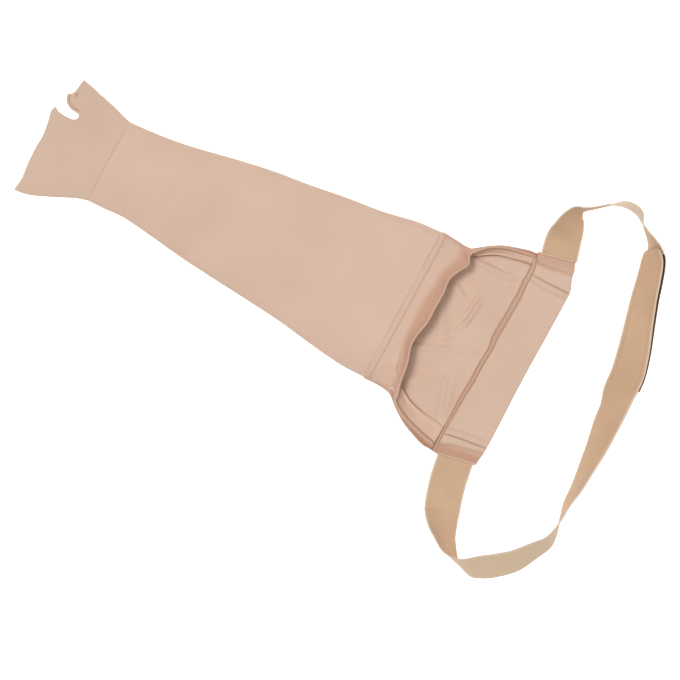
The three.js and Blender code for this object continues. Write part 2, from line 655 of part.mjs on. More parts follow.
// Shoulder seam: the raised seam between the panel and the band
function shoulderSeam() {
  const rings = [];
  for (let k = 0; k <= SHOULDER_STEPS; k += 1) {
    const across = lerp(-1, 1, k / SHOULDER_STEPS);
    const x = seamX(across);
    const y = shoulderY(across);
    const half = SEAM_WIDTH / 2;
    const profile = [[-1, 0], [1, 0], [1, 0.55], [0.6, 0.9], [0, 1], [-0.6, 0.9], [-1, 0.55]];
    rings.push(profile.map(([wide, high]) => [x + half * wide, y, SEAM_HEIGHT * high]));
  }
  return loft(rings);
}

// Seam side, free edge and height of the shoulder band from the low tab (0) to the high tab (1)
function bandLine(along) {
  const across = lerp(-1, 1, along);
  const near = seamX(across) + SEAM_WIDTH / 2 + CLEARANCE;
  const straight = SHOULDER_X + SEAM_WIDTH / 2 + BAND_DEPTH;
  const bend = BAND_DEPTH * sample(BAND_EDGE, 'along', 'ahead', along);
  const pulled = Math.min(0, near - SHOULDER_X - SEAM_WIDTH / 2 - CLEARANCE);
  const far = straight + bend + pulled;
  const slant = lerp(LOW_TAB_SLANT, HIGH_TAB_SLANT, along) * BAND_DEPTH;
  const y = shoulderY(across);
  const tab = THREE.MathUtils.smoothstep(Math.abs(across), 0.3, 1 - 3 * INSERT_SHARE);
  return {
    near: new THREE.Vector2(near, y),
    far: new THREE.Vector2(far, y + slant),
    height: lerp(BAND_HEIGHT, TAB_HEIGHT, tab),
  };
}

// Shoulder band: cloth folded double, open at both tabs, where the strap's ends go in
function shoulderBand() {
  const profile = [
    [0, 0], [1, 0], [1.6, 0.12], [1.9, 0.5], [1.6, 0.88], [1, 1], [0, 1],
    [-1, 1], [-1.6, 0.88], [-1.9, 0.5], [-1.6, 0.12], [-1, 0],
  ];
  const point = (inset) => (i, j) => {
    const line = bandLine(j / SHOULDER_STEPS);
    const middle = line.near.clone().add(line.far).multiplyScalar(0.5);
    const half = line.near.distanceTo(line.far) / 2;
    const side = line.far.clone().sub(line.near).normalize();
    const edge = FABRIC / 2;
    const [wide, high] = profile[i];
    const beyond = Math.abs(wide) > 1 ? (Math.abs(wide) - 1) / 0.9 : 0;
    const reach = Math.abs(wide) < 1 ? 0 : Math.sign(wide) * (half - inset - edge * (1 - beyond));
    const z = inset + (line.height - 2 * inset) * high;
    return [middle.x + side.x * reach, middle.y + side.y * reach, z];
  };
  return shell(profile.length, SHOULDER_STEPS + 1, point(0), point(FABRIC), () => true, true);
}

// Middle of the tab's end, or of a place inside it, at a share along the shoulder band
function tabFrame(along) {
  const line = bandLine(along);
  const middle = line.near.clone().add(line.far).multiplyScalar(0.5);
  const width = line.near.clone().sub(line.far).normalize();
  return {
    middle: new THREE.Vector3(middle.x, middle.y, TAB_HEIGHT / 2),
    width: new THREE.Vector3(width.x, width.y, 0),
    face: new THREE.Vector3(0, 0, 1),
    shift: 0,
  };
}

// Place on the strap's middle line, seen from above
function strapLine(u) {
  const [low, high] = [tabFrame(0).middle, tabFrame(1).middle];
  const x = TAB_X + STRAP_REACH * sample(STRAP, 'at', 'ahead', u);
  return new THREE.Vector3(x, lerp(low.y, high.y, sample(STRAP, 'at', 'along', u)), 0);
}

// Half the thickness of all that lies on the route where the ends cross, and of one strap elsewhere
function halfStack(u) {
  const crossed = STRAP_THICKNESS + TAPE_THICKNESS + 1.5 * CLEARANCE;
  return lerp(STRAP_THICKNESS / 2, crossed, crossShare(u));
}

// 1 where the strap's ends cross, falling to 0 on either side
function crossShare(u) {
  const step = u * ROUTE_STEPS;
  const smooth = THREE.MathUtils.smoothstep;
  const rise = smooth(step, CROSS_START_STEPS - CROSS_RAMP_STEPS, CROSS_START_STEPS);
  return rise * (1 - smooth(step, CROSS_END_STEPS, CROSS_END_STEPS + CROSS_RAMP_STEPS));
}

// Middle, width direction and face direction of the strap at a share of its route
function strapFrame(u) {
  const step = 0.002;
  const run = strapLine(Math.min(u + step, 1)).sub(strapLine(Math.max(u - step, 0))).normalize();
  const lean = THREE.MathUtils.degToRad(sample(STRAP, 'at', 'lean', u));
  const left = new THREE.Vector3(-run.y, run.x, 0);
  const width = left.multiplyScalar(Math.cos(lean)).setZ(Math.sin(lean));
  const face = run.clone().cross(width).normalize();
  const middle = strapLine(u);
  const lying = STRAP_WIDTH / 2 * Math.abs(width.z) + halfStack(u) * Math.abs(face.z);
  const tab = THREE.MathUtils.smoothstep(Math.max(1 - u / TAB_SHARE, 1 - (1 - u) / TAB_SHARE), 0, 1);
  middle.z = lying + tab * (TAB_HEIGHT - STRAP_THICKNESS) / 2;
  return { middle, width, face };
}

// Strip of webbing or tape along the strap's route, from one of its steps to another.
// offset: its distance from the route towards its face. first and last: ends sewn into the tabs.
function strip({ from, to, wide, thickness, offset, first = false, last = false }) {
  const frames = [];
  for (let k = from; k <= to; k += 1) {
    const u = k / ROUTE_STEPS;
    frames.push({ ...strapFrame(u), shift: offset(u) });
  }
  if (first) frames.splice(0, 1, tabFrame(1 - INSERT_SHARE), tabFrame(1));
  if (last) frames.splice(-1, 1, tabFrame(0), tabFrame(INSERT_SHARE));
  const point = (level) => (i, j) => {
    const { middle, width, face, shift } = frames[i];
    const place = middle.clone().addScaledVector(width, (j - 1) * wide / 2);
    return place.addScaledVector(face, shift + level * thickness / 2).toArray();
  };
  return shell(frames.length, 3, point(1), point(-1));
}

const STRAP_OFFSET = TAPE_THICKNESS + 1.5 * CLEARANCE + STRAP_THICKNESS / 2;
const TAPE_OFFSET = (TAPE_THICKNESS + CLEARANCE) / 2;

// Upper strap: from the high tab to its free end, which lies under the lower strap
function upperStrap() {
  const offset = (u) => -STRAP_OFFSET * crossShare(u);
  const size = { wide: STRAP_WIDTH, thickness: STRAP_THICKNESS };
  return strip({ from: 0, to: CROSS_END_STEPS, first: true, offset, ...size });
}

// Lower strap: from its free end, on top of the upper strap, round to the low tab
function lowerStrap() {
  const offset = (u) => STRAP_OFFSET * crossShare(u);
  const size = { wide: STRAP_WIDTH, thickness: STRAP_THICKNESS };
  return strip({ from: CROSS_START_STEPS, to: ROUTE_STEPS, last: true, offset, ...size });
}

// Tape on one of the straps' facing sides: hooks below, loops above
function tape(side) {
  const size = { wide: TAPE_WIDTH, thickness: TAPE_THICKNESS };
  const ends = { from: CROSS_START_STEPS + 1, to: CROSS_END_STEPS - 1 };
  return strip({ ...ends, offset: () => side * TAPE_OFFSET, ...size });
}

// Material of cloth or tape in a plain colour
function cloth(colour, roughness) {
  return new THREE.MeshStandardMaterial({ color: colour, roughness, metalness: 0 });
}

const KNIT = cloth(0xdcbda9, 0.9);
const KNIT_DARK = cloth(0xd3b29e, 0.9);
const THREAD = cloth(0xc9a48c, 0.8);
const WEBBING = cloth(0xcfb397, 0.85);
const HOOKS = cloth(0xb99a83, 0.7);
const LOOPS = cloth(0xc2a48c, 0.95);

const sleeve = new THREE.Group();
const pieces = [
  ['hand_piece', handPiece(), KNIT],
  ['arm_sleeve', armSleeve(), KNIT],
  ['upper_band', upperBand(), KNIT_DARK],
  ['hem_facing', hemFacing(), KNIT],
  ['shoulder_seam', shoulderSeam(), THREAD],
  ['shoulder_band', shoulderBand(), KNIT],
  ['upper_strap', upperStrap(), WEBBING],
  ['lower_strap', lowerStrap(), WEBBING],
  ['hook_tape', tape(-1), HOOKS],
  ['loop_tape', tape(1), LOOPS],
];
for (const [name, geometry, material] of pieces) {
  const mesh = new THREE.Mesh(geometry, material);
  mesh.name = name;
  sleeve.add(mesh);
}

export default sleeve;
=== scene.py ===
"""Arm compression sleeve, lying flat and seen from straight above.

The cloth is worked out in millimetres with the part's own formulas, on finer grids, and is written
in metres.
"""

import math

import bpy
import numpy as np
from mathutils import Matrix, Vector


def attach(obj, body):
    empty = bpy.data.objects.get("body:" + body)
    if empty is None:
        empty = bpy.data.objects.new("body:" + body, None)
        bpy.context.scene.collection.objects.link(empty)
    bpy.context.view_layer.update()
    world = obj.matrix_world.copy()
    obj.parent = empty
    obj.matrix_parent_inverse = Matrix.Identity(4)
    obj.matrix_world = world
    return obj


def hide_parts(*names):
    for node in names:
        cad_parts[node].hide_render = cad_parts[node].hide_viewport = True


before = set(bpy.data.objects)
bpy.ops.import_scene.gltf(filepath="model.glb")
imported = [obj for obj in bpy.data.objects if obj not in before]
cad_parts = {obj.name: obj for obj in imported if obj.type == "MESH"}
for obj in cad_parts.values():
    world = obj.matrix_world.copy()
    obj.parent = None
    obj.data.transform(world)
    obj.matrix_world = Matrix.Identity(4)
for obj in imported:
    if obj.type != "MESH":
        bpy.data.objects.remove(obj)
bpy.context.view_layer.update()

MM = 0.001

# Cloth and webbing
FABRIC = 1.2
HAND_FABRIC = 1.1
STRAP_THICKNESS = 1.5
TAPE_BACKING = 0.6
TAPE_THICKNESS = 1.2
CLEARANCE = 0.3

# Hand piece
WRIST_X = -20.0
HAND_HEIGHT = 10.0
THUMB_STITCH = 3.0
TACK_X, TACK_Y = -82.5, 44.5

# Arm tube
ARM_LENGTH = 346.0
WRIST_WIDTH = 95.0
WRIST_HEIGHT = 11.0
UPPER_ARM_WIDTH = 174.0
UPPER_ARM_HEIGHT = 21.0
ARM_DRIFT = 14.0
FOLD_HEIGHT = 4.0
FOLD_DEPTH = 8.0
STITCH_X = WRIST_X + ARM_LENGTH
GIRTH = 315.0

# Opening and shoulder
PANEL_LENGTH = 104.0
PANEL_TOP = 1.9
SHOULDER_WIDTH = 239.0
SHOULDER_DRIFT = 12.5
SHOULDER_X = STITCH_X + PANEL_LENGTH
LIP_HEIGHT = 34.0
LIP_RADIUS = 1.25
HEM_DEPTH = 24.0
HEM_STITCH = 5.6
FACING_STITCH = 0.12
CURL = 3.0
SEAM_WIDTH = 4.4
SEAM_HEIGHT = 3.2
SEAM_COVER = 6.0
SEAM_LINE = 0.62
BAND_DEPTH = 43.0
BAND_HEIGHT = 3.6
BAND_RADIUS = 1.3
TAB_HEIGHT = 2 * (FABRIC + CLEARANCE) + STRAP_THICKNESS
TAB_X = SHOULDER_X + SEAM_WIDTH / 2 + BAND_DEPTH / 2
TAB_HEM = 2.0
LOW_TAB_SLANT = 0.21
HIGH_TAB_SLANT = 0.25

# The high tab's inner corner reaches over the seam, and its outer corner is drawn in
TAB_OVERLAP = 3.8
TAB_NARROWED = 5.8

# Strap: sizes, and shares of its route
STRAP_WIDTH = 38.0
STRAP_REACH = 130.0
STRAP_INSERT = 12.0
STRAP_INSET = 2.2
STRAP_STITCH = 4.6
END_ROUND = 4.5
TAPE_WIDTH = 34.0
HOOKS_ASIDE = 2.4
STRAP_OFFSET = TAPE_THICKNESS + 1.5 * CLEARANCE + STRAP_THICKNESS / 2
LOOP_MIDDLE = np.array([TAB_X + 0.5 * STRAP_REACH, SHOULDER_DRIFT, 0.0])
INSERT_SHARE = STRAP_INSERT / SHOULDER_WIDTH
ROUTE_STEP = 1 / 112
CROSS_FROM = 26 * ROUTE_STEP
CROSS_TO = 50 * ROUTE_STEP
CROSS_RAMP = 6 * ROUTE_STEP
TAB_RAMP = 0.03
FOLD_FROM, FOLD_TO = 0.800, 0.920

# Arm tube: along, widened, drifted, risen
ARM = np.array([
    (0, -0.01, -0.08, 0), (0.06, 0, 0.01, 0.02), (0.12, 0.01, 0.14, 0.06), (0.17, 0.06, 0.18, 0.12),
    (0.23, 0.14, 0.24, 0.20), (0.35, 0.32, 0.40, 0.38), (0.46, 0.45, 0.55, 0.52), (0.58, 0.56, 0.65, 0.64),
    (0.69, 0.68, 0.76, 0.76), (0.81, 0.82, 0.76, 0.88), (0.92, 0.97, 0.90, 0.97), (1, 1, 1, 1),
])
# Panel behind the opening: along, flared, pulled in on its high side
PANEL = np.array([
    (0, 0, 0), (0.12, -0.02, 0), (0.23, -0.01, 0.005), (0.32, 0.06, 0.017), (0.42, 0.31, 0.020),
    (0.52, 0.53, 0.017), (0.62, 0.70, 0.015), (0.72, 0.82, 0.015), (0.82, 0.93, 0.016), (0.91, 0.98, 0.011),
    (1, 1, 0.006),
])
# Shoulder seam: across, bow
SEAM = np.array([
    (-1, -0.02), (-0.9, -0.06), (-0.5, -0.05), (0, -0.02), (0.5, 0.02), (0.8, 0.05), (0.9, 0.01), (1, -0.10),
])
# Rim: foot (below 0 on the stitch line), arch, ahead, across, up, side
RIM = np.array([
    (0.965, -0.5, 0.945, -0.950, 0.20, 1), (0.880, -0.5, 0.835, -0.930, 0.28, 1),
    (0.790, -0.5, 0.727, -0.907, 0.37, 1), (0.683, -0.5, 0.607, -0.877, 0.47, 1),
    (0.566, -0.5, 0.500, -0.836, 0.58, 1), (0.447, -0.5, 0.425, -0.797, 0.68, 0.9),
    (0.300, -0.5, 0.385, -0.762, 0.74, 0.7), (0.140, -0.5, 0.375, -0.730, 0.79, 0.45),
    (-1, -0.495, 0.365, -0.695, 0.82, 0.25), (-1, -0.39, 0.348, -0.640, 0.86, 0),
    (-1, -0.30, 0.330, -0.560, 0.90, 0), (-1, -0.20, 0.305, -0.420, 0.96, 0),
    (-1, -0.13, 0.254, -0.272, 0.98, 0), (-1, -0.08, 0.258, -0.160, 1.00, 0),
    (-1, -0.02, 0.287, -0.030, 0.99, 0), (-1, 0.05, 0.287, 0.120, 1.00, 0),
    (-1, 0.12, 0.290, 0.270, 1.00, 0), (-1, 0.18, 0.275, 0.405, 0.97, 0),
    (-1, 0.26, 0.328, 0.520, 0.92, 0), (-1, 0.34, 0.374, 0.590, 0.88, 0),
    (-1, 0.42, 0.345, 0.665, 0.84, 0), (-1, 0.495, 0.355, 0.706, 0.80, 0.25),
    (0.180, 0.5, 0.385, 0.734, 0.76, 0.5), (0.340, 0.5, 0.415, 0.765, 0.70, 0.75),
    (0.460, 0.5, 0.465, 0.806, 0.64, 0.9), (0.560, 0.5, 0.530, 0.845, 0.57, 1),
    (0.660, 0.5, 0.620, 0.884, 0.48, 1), (0.770, 0.5, 0.740, 0.911, 0.37, 1),
    (0.860, 0.5, 0.840, 0.930, 0.28, 1), (0.950, 0.5, 0.945, 0.946, 0.19, 1),
])
LAST_ROW = len(RIM) - 1
# Free edge of the facing, row by row of the rim: ahead, across, up
FREE_EDGE = np.array([
    (0.950, -0.770, 0.09), (0.835, -0.752, 0.11), (0.728, -0.742, 0.13), (0.613, -0.722, 0.15),
    (0.508, -0.690, 0.18), (0.430, -0.650, 0.22), (0.370, -0.610, 0.28), (0.300, -0.600, 0.34),
    (0.24, -0.600, 0.40), (0.2, -0.58, 0.5), (0.2, -0.5, 0.5), (0.2, -0.4, 0.5), (0.2, -0.3, 0.5),
    (0.2, -0.2, 0.5), (0.2, 0, 0.5), (0.2, 0.1, 0.5), (0.2, 0.3, 0.5), (0.2, 0.4, 0.5), (0.2, 0.5, 0.5),
    (0.2, 0.55, 0.5), (0.22, 0.6, 0.45), (0.27, 0.63, 0.36), (0.34, 0.655, 0.30), (0.41, 0.690, 0.26),
    (0.475, 0.730, 0.24), (0.545, 0.770, 0.22), (0.635, 0.806, 0.20), (0.750, 0.830, 0.17),
    (0.845, 0.850, 0.14), (0.945, 0.868, 0.10),
])
# Where the upper band turns steep: row of the rim, share of the band's depth
VALLEY = np.array([
    (0, 0.80), (8, 0.82), (10, 0.73), (12, 0.58), (14.5, 0.36), (17, 0.48), (21, 0.50), (29, 0.50),
])
# Strap: at, ahead, along, lean
STRAP = np.array([
    (0, -0.050, 1, 0), (0.022, -0.084, 1.070, 12), (0.039, -0.090, 1.123, 31), (0.053, -0.095, 1.163, 45),
    (0.067, -0.091, 1.202, 62), (0.073, -0.078, 1.219, 75), (0.080, -0.058, 1.233, 85),
    (0.097, 0.011, 1.261, 88), (0.119, 0.105, 1.303, 90), (0.146, 0.229, 1.341, 102),
    (0.171, 0.345, 1.336, 104), (0.189, 0.411, 1.300, 94), (0.209, 0.497, 1.263, 85),
    (0.223, 0.550, 1.241, 78), (0.233, 0.589, 1.221, 69), (0.248, 0.635, 1.182, 58),
    (0.276, 0.682, 1.103, 53), (0.307, 0.723, 1.016, 49), (0.351, 0.794, 0.891, 42),
    (0.390, 0.857, 0.778, 33), (0.422, 0.896, 0.685, 28), (0.447, 0.906, 0.609, 31),
    (0.474, 0.926, 0.529, 43), (0.498, 0.930, 0.457, 47), (0.533, 0.949, 0.349, 57),
    (0.568, 0.957, 0.247, 66), (0.604, 0.964, 0.136, 75), (0.628, 0.957, 0.063, 81),
    (0.655, 0.970, -0.013, 90), (0.679, 0.978, -0.086, 102), (0.697, 0.963, -0.136, 111),
    (0.720, 0.894, -0.196, 119), (0.752, 0.798, -0.274, 128), (0.785, 0.666, -0.337, 131),
    (0.806, 0.575, -0.370, 129), (0.822, 0.510, -0.394, 121), (0.833, 0.462, -0.401, 111),
    (0.844, 0.406, -0.400, 92), (0.858, 0.327, -0.387, 70), (0.877, 0.226, -0.338, 50),
    (0.893, 0.165, -0.300, 35), (0.920, 0.094, -0.227, 13), (0.965, 0.027, -0.109, 5), (1, -0.010, 0, 0),
])
# Shoulder band's free edge: along, ahead
BAND_EDGE = np.array([
    (0, 0), (0.06, 0.08), (0.18, 0.08), (0.42, 0.03), (0.62, 0.01), (0.80, 0.01), (0.90, 0), (1, -0.03),
])

# Hand piece's outline in plan: x and y of its sides and its slot, then y and x of its two open edges
LOW_SIDE = np.array([
    (-92.6, -75.2), (-82.2, -74.0), (-71.8, -70.8), (-60.0, -65.6), (-49.6, -60.8), (-40.0, -56.1),
    (-30.4, -51.7), (-20.0, -48.5),
])
HIGH_SIDE = np.array([
    (-83.2, 61.9), (-76.0, 60.6), (-68.0, 58.8), (-61.5, 57.1), (-54.0, 55.4), (-47.0, 53.7), (-38.0, 51.4),
    (-29.4, 48.7), (-20.0, 46.2),
])
SLOT_PALM = np.array([
    (-96.0, 22.6), (-92.0, 20.2), (-86.0, 19.2), (-80.0, 19.1), (-75.0, 19.5), (-72.0, 20.7), (-70.3, 22.6),
    (-69.8, 24.6),
])
SLOT_THUMB = np.array([
    (-91.6, 39.8), (-90.2, 35.6), (-87.0, 31.6), (-82.0, 28.6), (-76.0, 27.6), (-72.0, 27.5), (-70.5, 26.6),
    (-69.8, 24.6),
])
PALM_EDGE = np.array([
    (-75.2, -92.6), (-60.6, -90.9), (-45.6, -92.7), (-32.0, -93.4), (-21.6, -93.6), (-11.4, -93.0),
    (-2.0, -94.1), (6.8, -95.5), (13.0, -97.1), (17.7, -97.7), (22.6, -96.0),
])
THUMB_EDGE = np.array([
    (39.8, -91.6), (42.6, -87.8), (46.5, -85.6), (50.5, -84.6), (56.0, -84.0), (61.8, -83.0),
])

# Creases: start x and y, end x and y, width, height
ARM_CREASES = (
    (60, -44, 118, -10, 9, 0.55), (190, 58, 262, 34, 10, 0.45), (258, -66, 300, -34, 8, 0.4),
    (20, 34, 84, 22, 7, 0.3),
)
PANEL_CREASES = (
    (376, 94, 403, 95, 3.4, 3.4), (411, 98, 425, 110, 4.0, 1.8), (388, 22, 393, 36, 3.4, 2.2),
    (392, 34, 394, 54, 3.0, 2.8), (363, -14, 411, 9, 3.0, 3.0), (417, -66, 408, -38, 5.0, 2.2),
    (366, 60, 378, 55, 5.0, 2.2), (372, -48, 392, -28, 7.0, 1.8), (398, 62, 408, 80, 6.0, 1.4),
    (392, -6, 420, -22, 8.0, 1.2), (368, 30, 384, 8, 7.0, 1.5),
)
HAND_CREASES = ((-72, 30, -44, 34, 5, 0.5), (-86, -40, -40, -30, 9, 0.4))
# Grooves along the lip: back from it, width, depth, seed
LIP_GROOVES = ((2.2, 0.7, 0.22, 1), (5.0, 0.9, 0.25, 2), (8.6, 1.1, 0.25, 3))
# Tabs: from the high end, strength of the pink painted shade on its sloping end, where its stitches are,
# their skew
TABS = ((False, 1.0, 21.5, -1.0), (True, 0.7, 29.5, 5.5))


def cubic(a, b, start, end, t):
    """Cubic curve between a and b with given slopes."""
    t2, t3 = t * t, t * t * t
    return a * (2 * t3 - 3 * t2 + 1) + start * (t3 - 2 * t2 + t) + b * (3 * t2 - 2 * t3) + end * (t3 - t2)


def sample(table, column, at):
    """Reads a column smoothly at places given in the table's first column."""
    key, value = table[:, 0], table[:, column]
    last = len(key) - 1
    at = np.asarray(at, float)
    i = np.clip(np.searchsorted(key, at, side="left") - 1, 0, last - 1)
    gap = key[i + 1] - key[i]

    def slope(k):
        low, high = np.maximum(k - 1, 0), np.minimum(k + 1, last)
        return gap * (value[high] - value[low]) / (key[high] - key[low])

    t = np.clip((at - key[i]) / gap, 0, 1)
    return cubic(value[i], value[i + 1], slope(i), slope(i + 1), t)


def between(table, column, place):
    """Reads a column smoothly at a place counted in rows."""
    last = len(table) - 1
    i = np.clip(np.floor(place).astype(int), 0, last - 1)
    value = table[:, column]
    a, b = value[i], value[i + 1]
    before, after = value[np.maximum(i - 1, 0)], value[np.minimum(i + 2, last)]
    return cubic(a, b, (b - before) / 2, (after - a) / 2, place - i)


def lerp(a, b, t):
    return a + (b - a) * t


def smoothstep(x, low, high):
    t = np.clip((x - low) / (high - low), 0, 1)
    return t * t * (3 - 2 * t)


def bell(distance, width):
    """1 on a line, and next to nothing two widths away from it."""
    return np.exp(-((distance / width) ** 2))


def dip(distance, width, depth):
    """Narrow groove."""
    return -depth * bell(distance, width)


def unit(v):
    return v / np.maximum(np.linalg.norm(v, axis=-1, keepdims=True), 1e-12)


def xyz(x, y, z):
    """Points from coordinates whose shapes match."""
    return np.stack(np.broadcast_arrays(x, y, z), -1)


def run_length(points):
    """Distance along each line of points, at each of them."""
    step = np.linalg.norm(np.diff(points, axis=-2), axis=-1)
    return np.concatenate([np.zeros((*step.shape[:-1], 1)), np.cumsum(step, axis=-1)], -1)


def ripple(x, y, wavelength, seed, waves=7):
    """Soft irregular swell between about -1 and 1."""
    rng = np.random.default_rng(seed)
    total = np.zeros(np.broadcast(x, y).shape)
    for _ in range(waves):
        turn = rng.uniform(0, math.tau)
        k = math.tau / (wavelength * rng.uniform(0.7, 1.6))
        total += np.sin(k * (x * math.cos(turn) + y * math.sin(turn)) + rng.uniform(0, math.tau))
    return total / math.sqrt(waves) / 1.4


def creases(x, y, table):
    """Ridges with a valley on their left, along straight stretches in plan."""
    total = np.zeros(x.shape)
    for ax, ay, bx, by, width, height in table:
        dx, dy = bx - ax, by - ay
        length = math.hypot(dx, dy)
        along = ((x - ax) * dx + (y - ay) * dy) / length
        aside = ((x - ax) * -dy + (y - ay) * dx) / length / width
        beyond = np.maximum(np.maximum(-along, along - length), 0)
        total -= height * 1.65 * aside * bell(aside, 1) * bell(beyond, 0.35 * length)
    return total


# Meshes


def signed_volume(points, quads):
    a, b, c, d = (points[quads[:, n]] for n in range(4))
    return float(np.sum(np.cross(a, b) * c) + np.sum(np.cross(a, c) * d))


def make(name, points, quads, uv, material):
    """Mesh object from points in millimetres and four-cornered faces, with a UV and marks for each corner."""
    points = np.column_stack([points[:, :2], np.maximum(points[:, 2], 0)])
    if signed_volume(points, quads) < 0:
        quads, uv = quads[:, ::-1], uv[:, ::-1]
    mesh = bpy.data.meshes.new(name)
    mesh.vertices.add(len(points))
    mesh.vertices.foreach_set("co", (points * MM).astype(np.float32).ravel())
    mesh.loops.add(quads.size)
    mesh.loops.foreach_set("vertex_index", np.ascontiguousarray(quads, np.int32).ravel())
    mesh.polygons.add(len(quads))
    mesh.polygons.foreach_set("loop_start", np.arange(len(quads), dtype=np.int32) * 4)
    mesh.polygons.foreach_set("use_smooth", np.ones(len(quads), bool))
    layer = mesh.uv_layers.new(name="cloth")
    layer.data.foreach_set("uv", (np.ascontiguousarray(uv[..., :2]) * MM).astype(np.float32).ravel())
    for mark, column in zip(("tint", "line"), range(2, uv.shape[-1])):
        values = mesh.attributes.new(mark, "FLOAT", "CORNER").data
        values.foreach_set("value", np.ascontiguousarray(uv[..., column], np.float32).ravel())
    mesh.update(calc_edges=True)
    mesh.materials.append(material)
    obj = bpy.data.objects.new(name, mesh)
    bpy.context.scene.collection.objects.link(obj)
    return obj


def sheet_grid(rows, columns, wrap=False, keep=None):
    """Faces of a grid, and the grid place of each of their corners."""
    steps = rows if wrap else rows - 1
    i, j = np.meshgrid(np.arange(steps), np.arange(columns - 1), indexing="ij")
    if keep is not None:
        i, j = i[keep], j[keep]
    i, j = i.ravel(), j.ravel()
    ci = np.stack([i, i + 1, i + 1, i], 1)
    cj = np.stack([j, j, j + 1, j + 1], 1)
    return (ci % rows) * columns + cj, ci, cj


def vertex_normals(points, quads):
    a, b, c, d = (points[quads[:, n]] for n in range(4))
    face = np.cross(c - a, d - b)
    total = np.zeros_like(points)
    for n in range(4):
        np.add.at(total, quads[:, n], face)
    return unit(total)


def grid_normals(surface, wrap=False):
    quads = sheet_grid(*surface.shape[:2], wrap)[0]
    return vertex_normals(surface.reshape(-1, 3), quads).reshape(surface.shape)


def ring_volume(surface):
    """Signed volume inside a grid that closes on itself."""
    return signed_volume(surface.reshape(-1, 3), sheet_grid(*surface.shape[:2], True)[0])


def thicken(points, quads, uv, thickness, outward=True, back_tint=None):
    """Closes a surface into cloth with rounded edges. back_tint: the tint of its other side."""
    count = len(points)
    facing = 1 if outward else -1
    normal = vertex_normals(points, quads) * facing
    starts = quads.ravel()
    ends = np.roll(quads, -1, axis=1).ravel()
    flat_uv = uv.reshape(-1, uv.shape[-1])
    end_uv = np.roll(uv, -1, axis=1).reshape(flat_uv.shape)
    edge = ~np.isin(starts.astype(np.int64) * count + ends, ends.astype(np.int64) * count + starts)
    a, b = starts[edge], ends[edge]
    uv_a, uv_b = flat_uv[edge], end_uv[edge]
    aside = np.zeros_like(points)
    for corner in (a, b):
        np.add.at(aside, corner, np.cross(points[b] - points[a], (normal[a] + normal[b]) * facing))
    aside = unit(aside)
    rim = np.unique(np.concatenate([a, b]))
    centre = points[rim] - normal[rim] * thickness / 2
    levels = [np.arange(count)]
    all_points = [points, points - normal * thickness]
    total = 2 * count
    for angle in (45, 90, 135):
        t = math.radians(angle)
        index = np.full(count, -1)
        index[rim] = total + np.arange(len(rim))
        total += len(rim)
        levels.append(index)
        all_points.append(centre + (normal[rim] * math.cos(t) + aside[rim] * math.sin(t)) * thickness / 2)
    levels.append(np.arange(count) + count)
    all_quads = [quads, quads[:, ::-1] + count]
    behind = uv[:, ::-1].copy()
    if back_tint is not None:
        behind[..., 2] = back_tint
    all_uv = [uv, behind]
    for low, high in zip(levels, levels[1:]):
        all_quads.append(np.stack([low[b], low[a], high[a], high[b]], 1))
        all_uv.append(np.stack([uv_b, uv_a, uv_a, uv_b], 1))
    return np.concatenate(all_points), np.concatenate(all_quads), np.concatenate(all_uv)


def cloth(name, surface, u, v, thickness, material, wrap=False, keep=None, outward=True, tint=0.0, line=0.0,
          back_tint=None):
    """Cloth on a grid of points, with its inner side one thickness below. tint and line: marks on it."""
    rows, columns = surface.shape[:2]
    quads, ci, cj = sheet_grid(rows, columns, wrap, keep)
    u, v = (np.broadcast_to(a, (rows + wrap, columns))[ci, cj] for a in (u, v))
    marks = (np.broadcast_to(mark, (rows, columns))[ci % rows, cj] for mark in (tint, line))
    used, quads = np.unique(quads, return_inverse=True)
    points, quads = surface.reshape(-1, 3)[used], quads.reshape(-1, 4)
    uv = np.stack([u, v, *marks], -1)
    return make(name, *thicken(points, quads, uv, thickness, outward, back_tint), material)


def rod(name, rings, u, v, material, line):
    """Closed body through rings with an even number of points."""
    rows, around = rings.shape[:2]
    _, ci, cj = sheet_grid(around, rows, wrap=True)
    quads = ci % around + cj * around
    k = np.arange(around // 2 - 1)
    cap = np.stack([k, k + 1, around - 2 - k, around - 1 - k], 1)
    quads = np.concatenate([quads, cap[:, ::-1], cap + (rows - 1) * around])
    marks = np.stack([u, v, 0 * line, line], -1).reshape(-1, 4)
    return make(name, rings.reshape(-1, 3), quads, marks[quads], material)


def stitches(name, lines, material, length=2.6, gap=0.7, radius=0.28, sunk=0.1):
    """Rows of stitches along lines of points with their normals."""
    points, quads = [], []
    around, rings = 6, np.array([0.0, 0.12, 0.5, 0.88, 1.0])
    swell = np.array([0.15, 0.8, 1.0, 0.8, 0.15])
    block = np.arange(around * 5).reshape(around, 5)
    sides = [np.stack([p[:-1], q[:-1], q[1:], p[1:]], 1) for p, q in zip(block, np.roll(block, -1, axis=0))]
    ends = [ring[[[0, 1, 2, 3], [0, 3, 4, 5]]] for ring in (block[::-1, 0], block[:, 4])]
    stitch = np.concatenate(sides + ends)
    for line, normal in lines:
        at = run_length(line)
        for start in np.arange(0, at[-1] - length, length + gap):
            s = start + rings * length
            middle = np.stack([np.interp(s, at, line[:, n]) for n in range(3)], 1)
            up = unit(np.stack([np.interp(s, at, normal[:, n]) for n in range(3)], 1))
            side = unit(np.cross(up, unit(middle[-1] - middle[0])))
            arch = (np.sin(rings * math.pi) * radius * 0.7 - sunk)[:, None]
            quads.append(stitch + len(points) * 5)
            for turn in np.arange(around) / around * math.tau:
                out = side * math.cos(turn) + up * math.sin(turn)
                points.append(middle + up * arch + out * (radius * swell)[:, None])
    points, quads = np.concatenate(points), np.concatenate(quads)
    return make(name, points, quads, points[quads][:, :, :2], material)
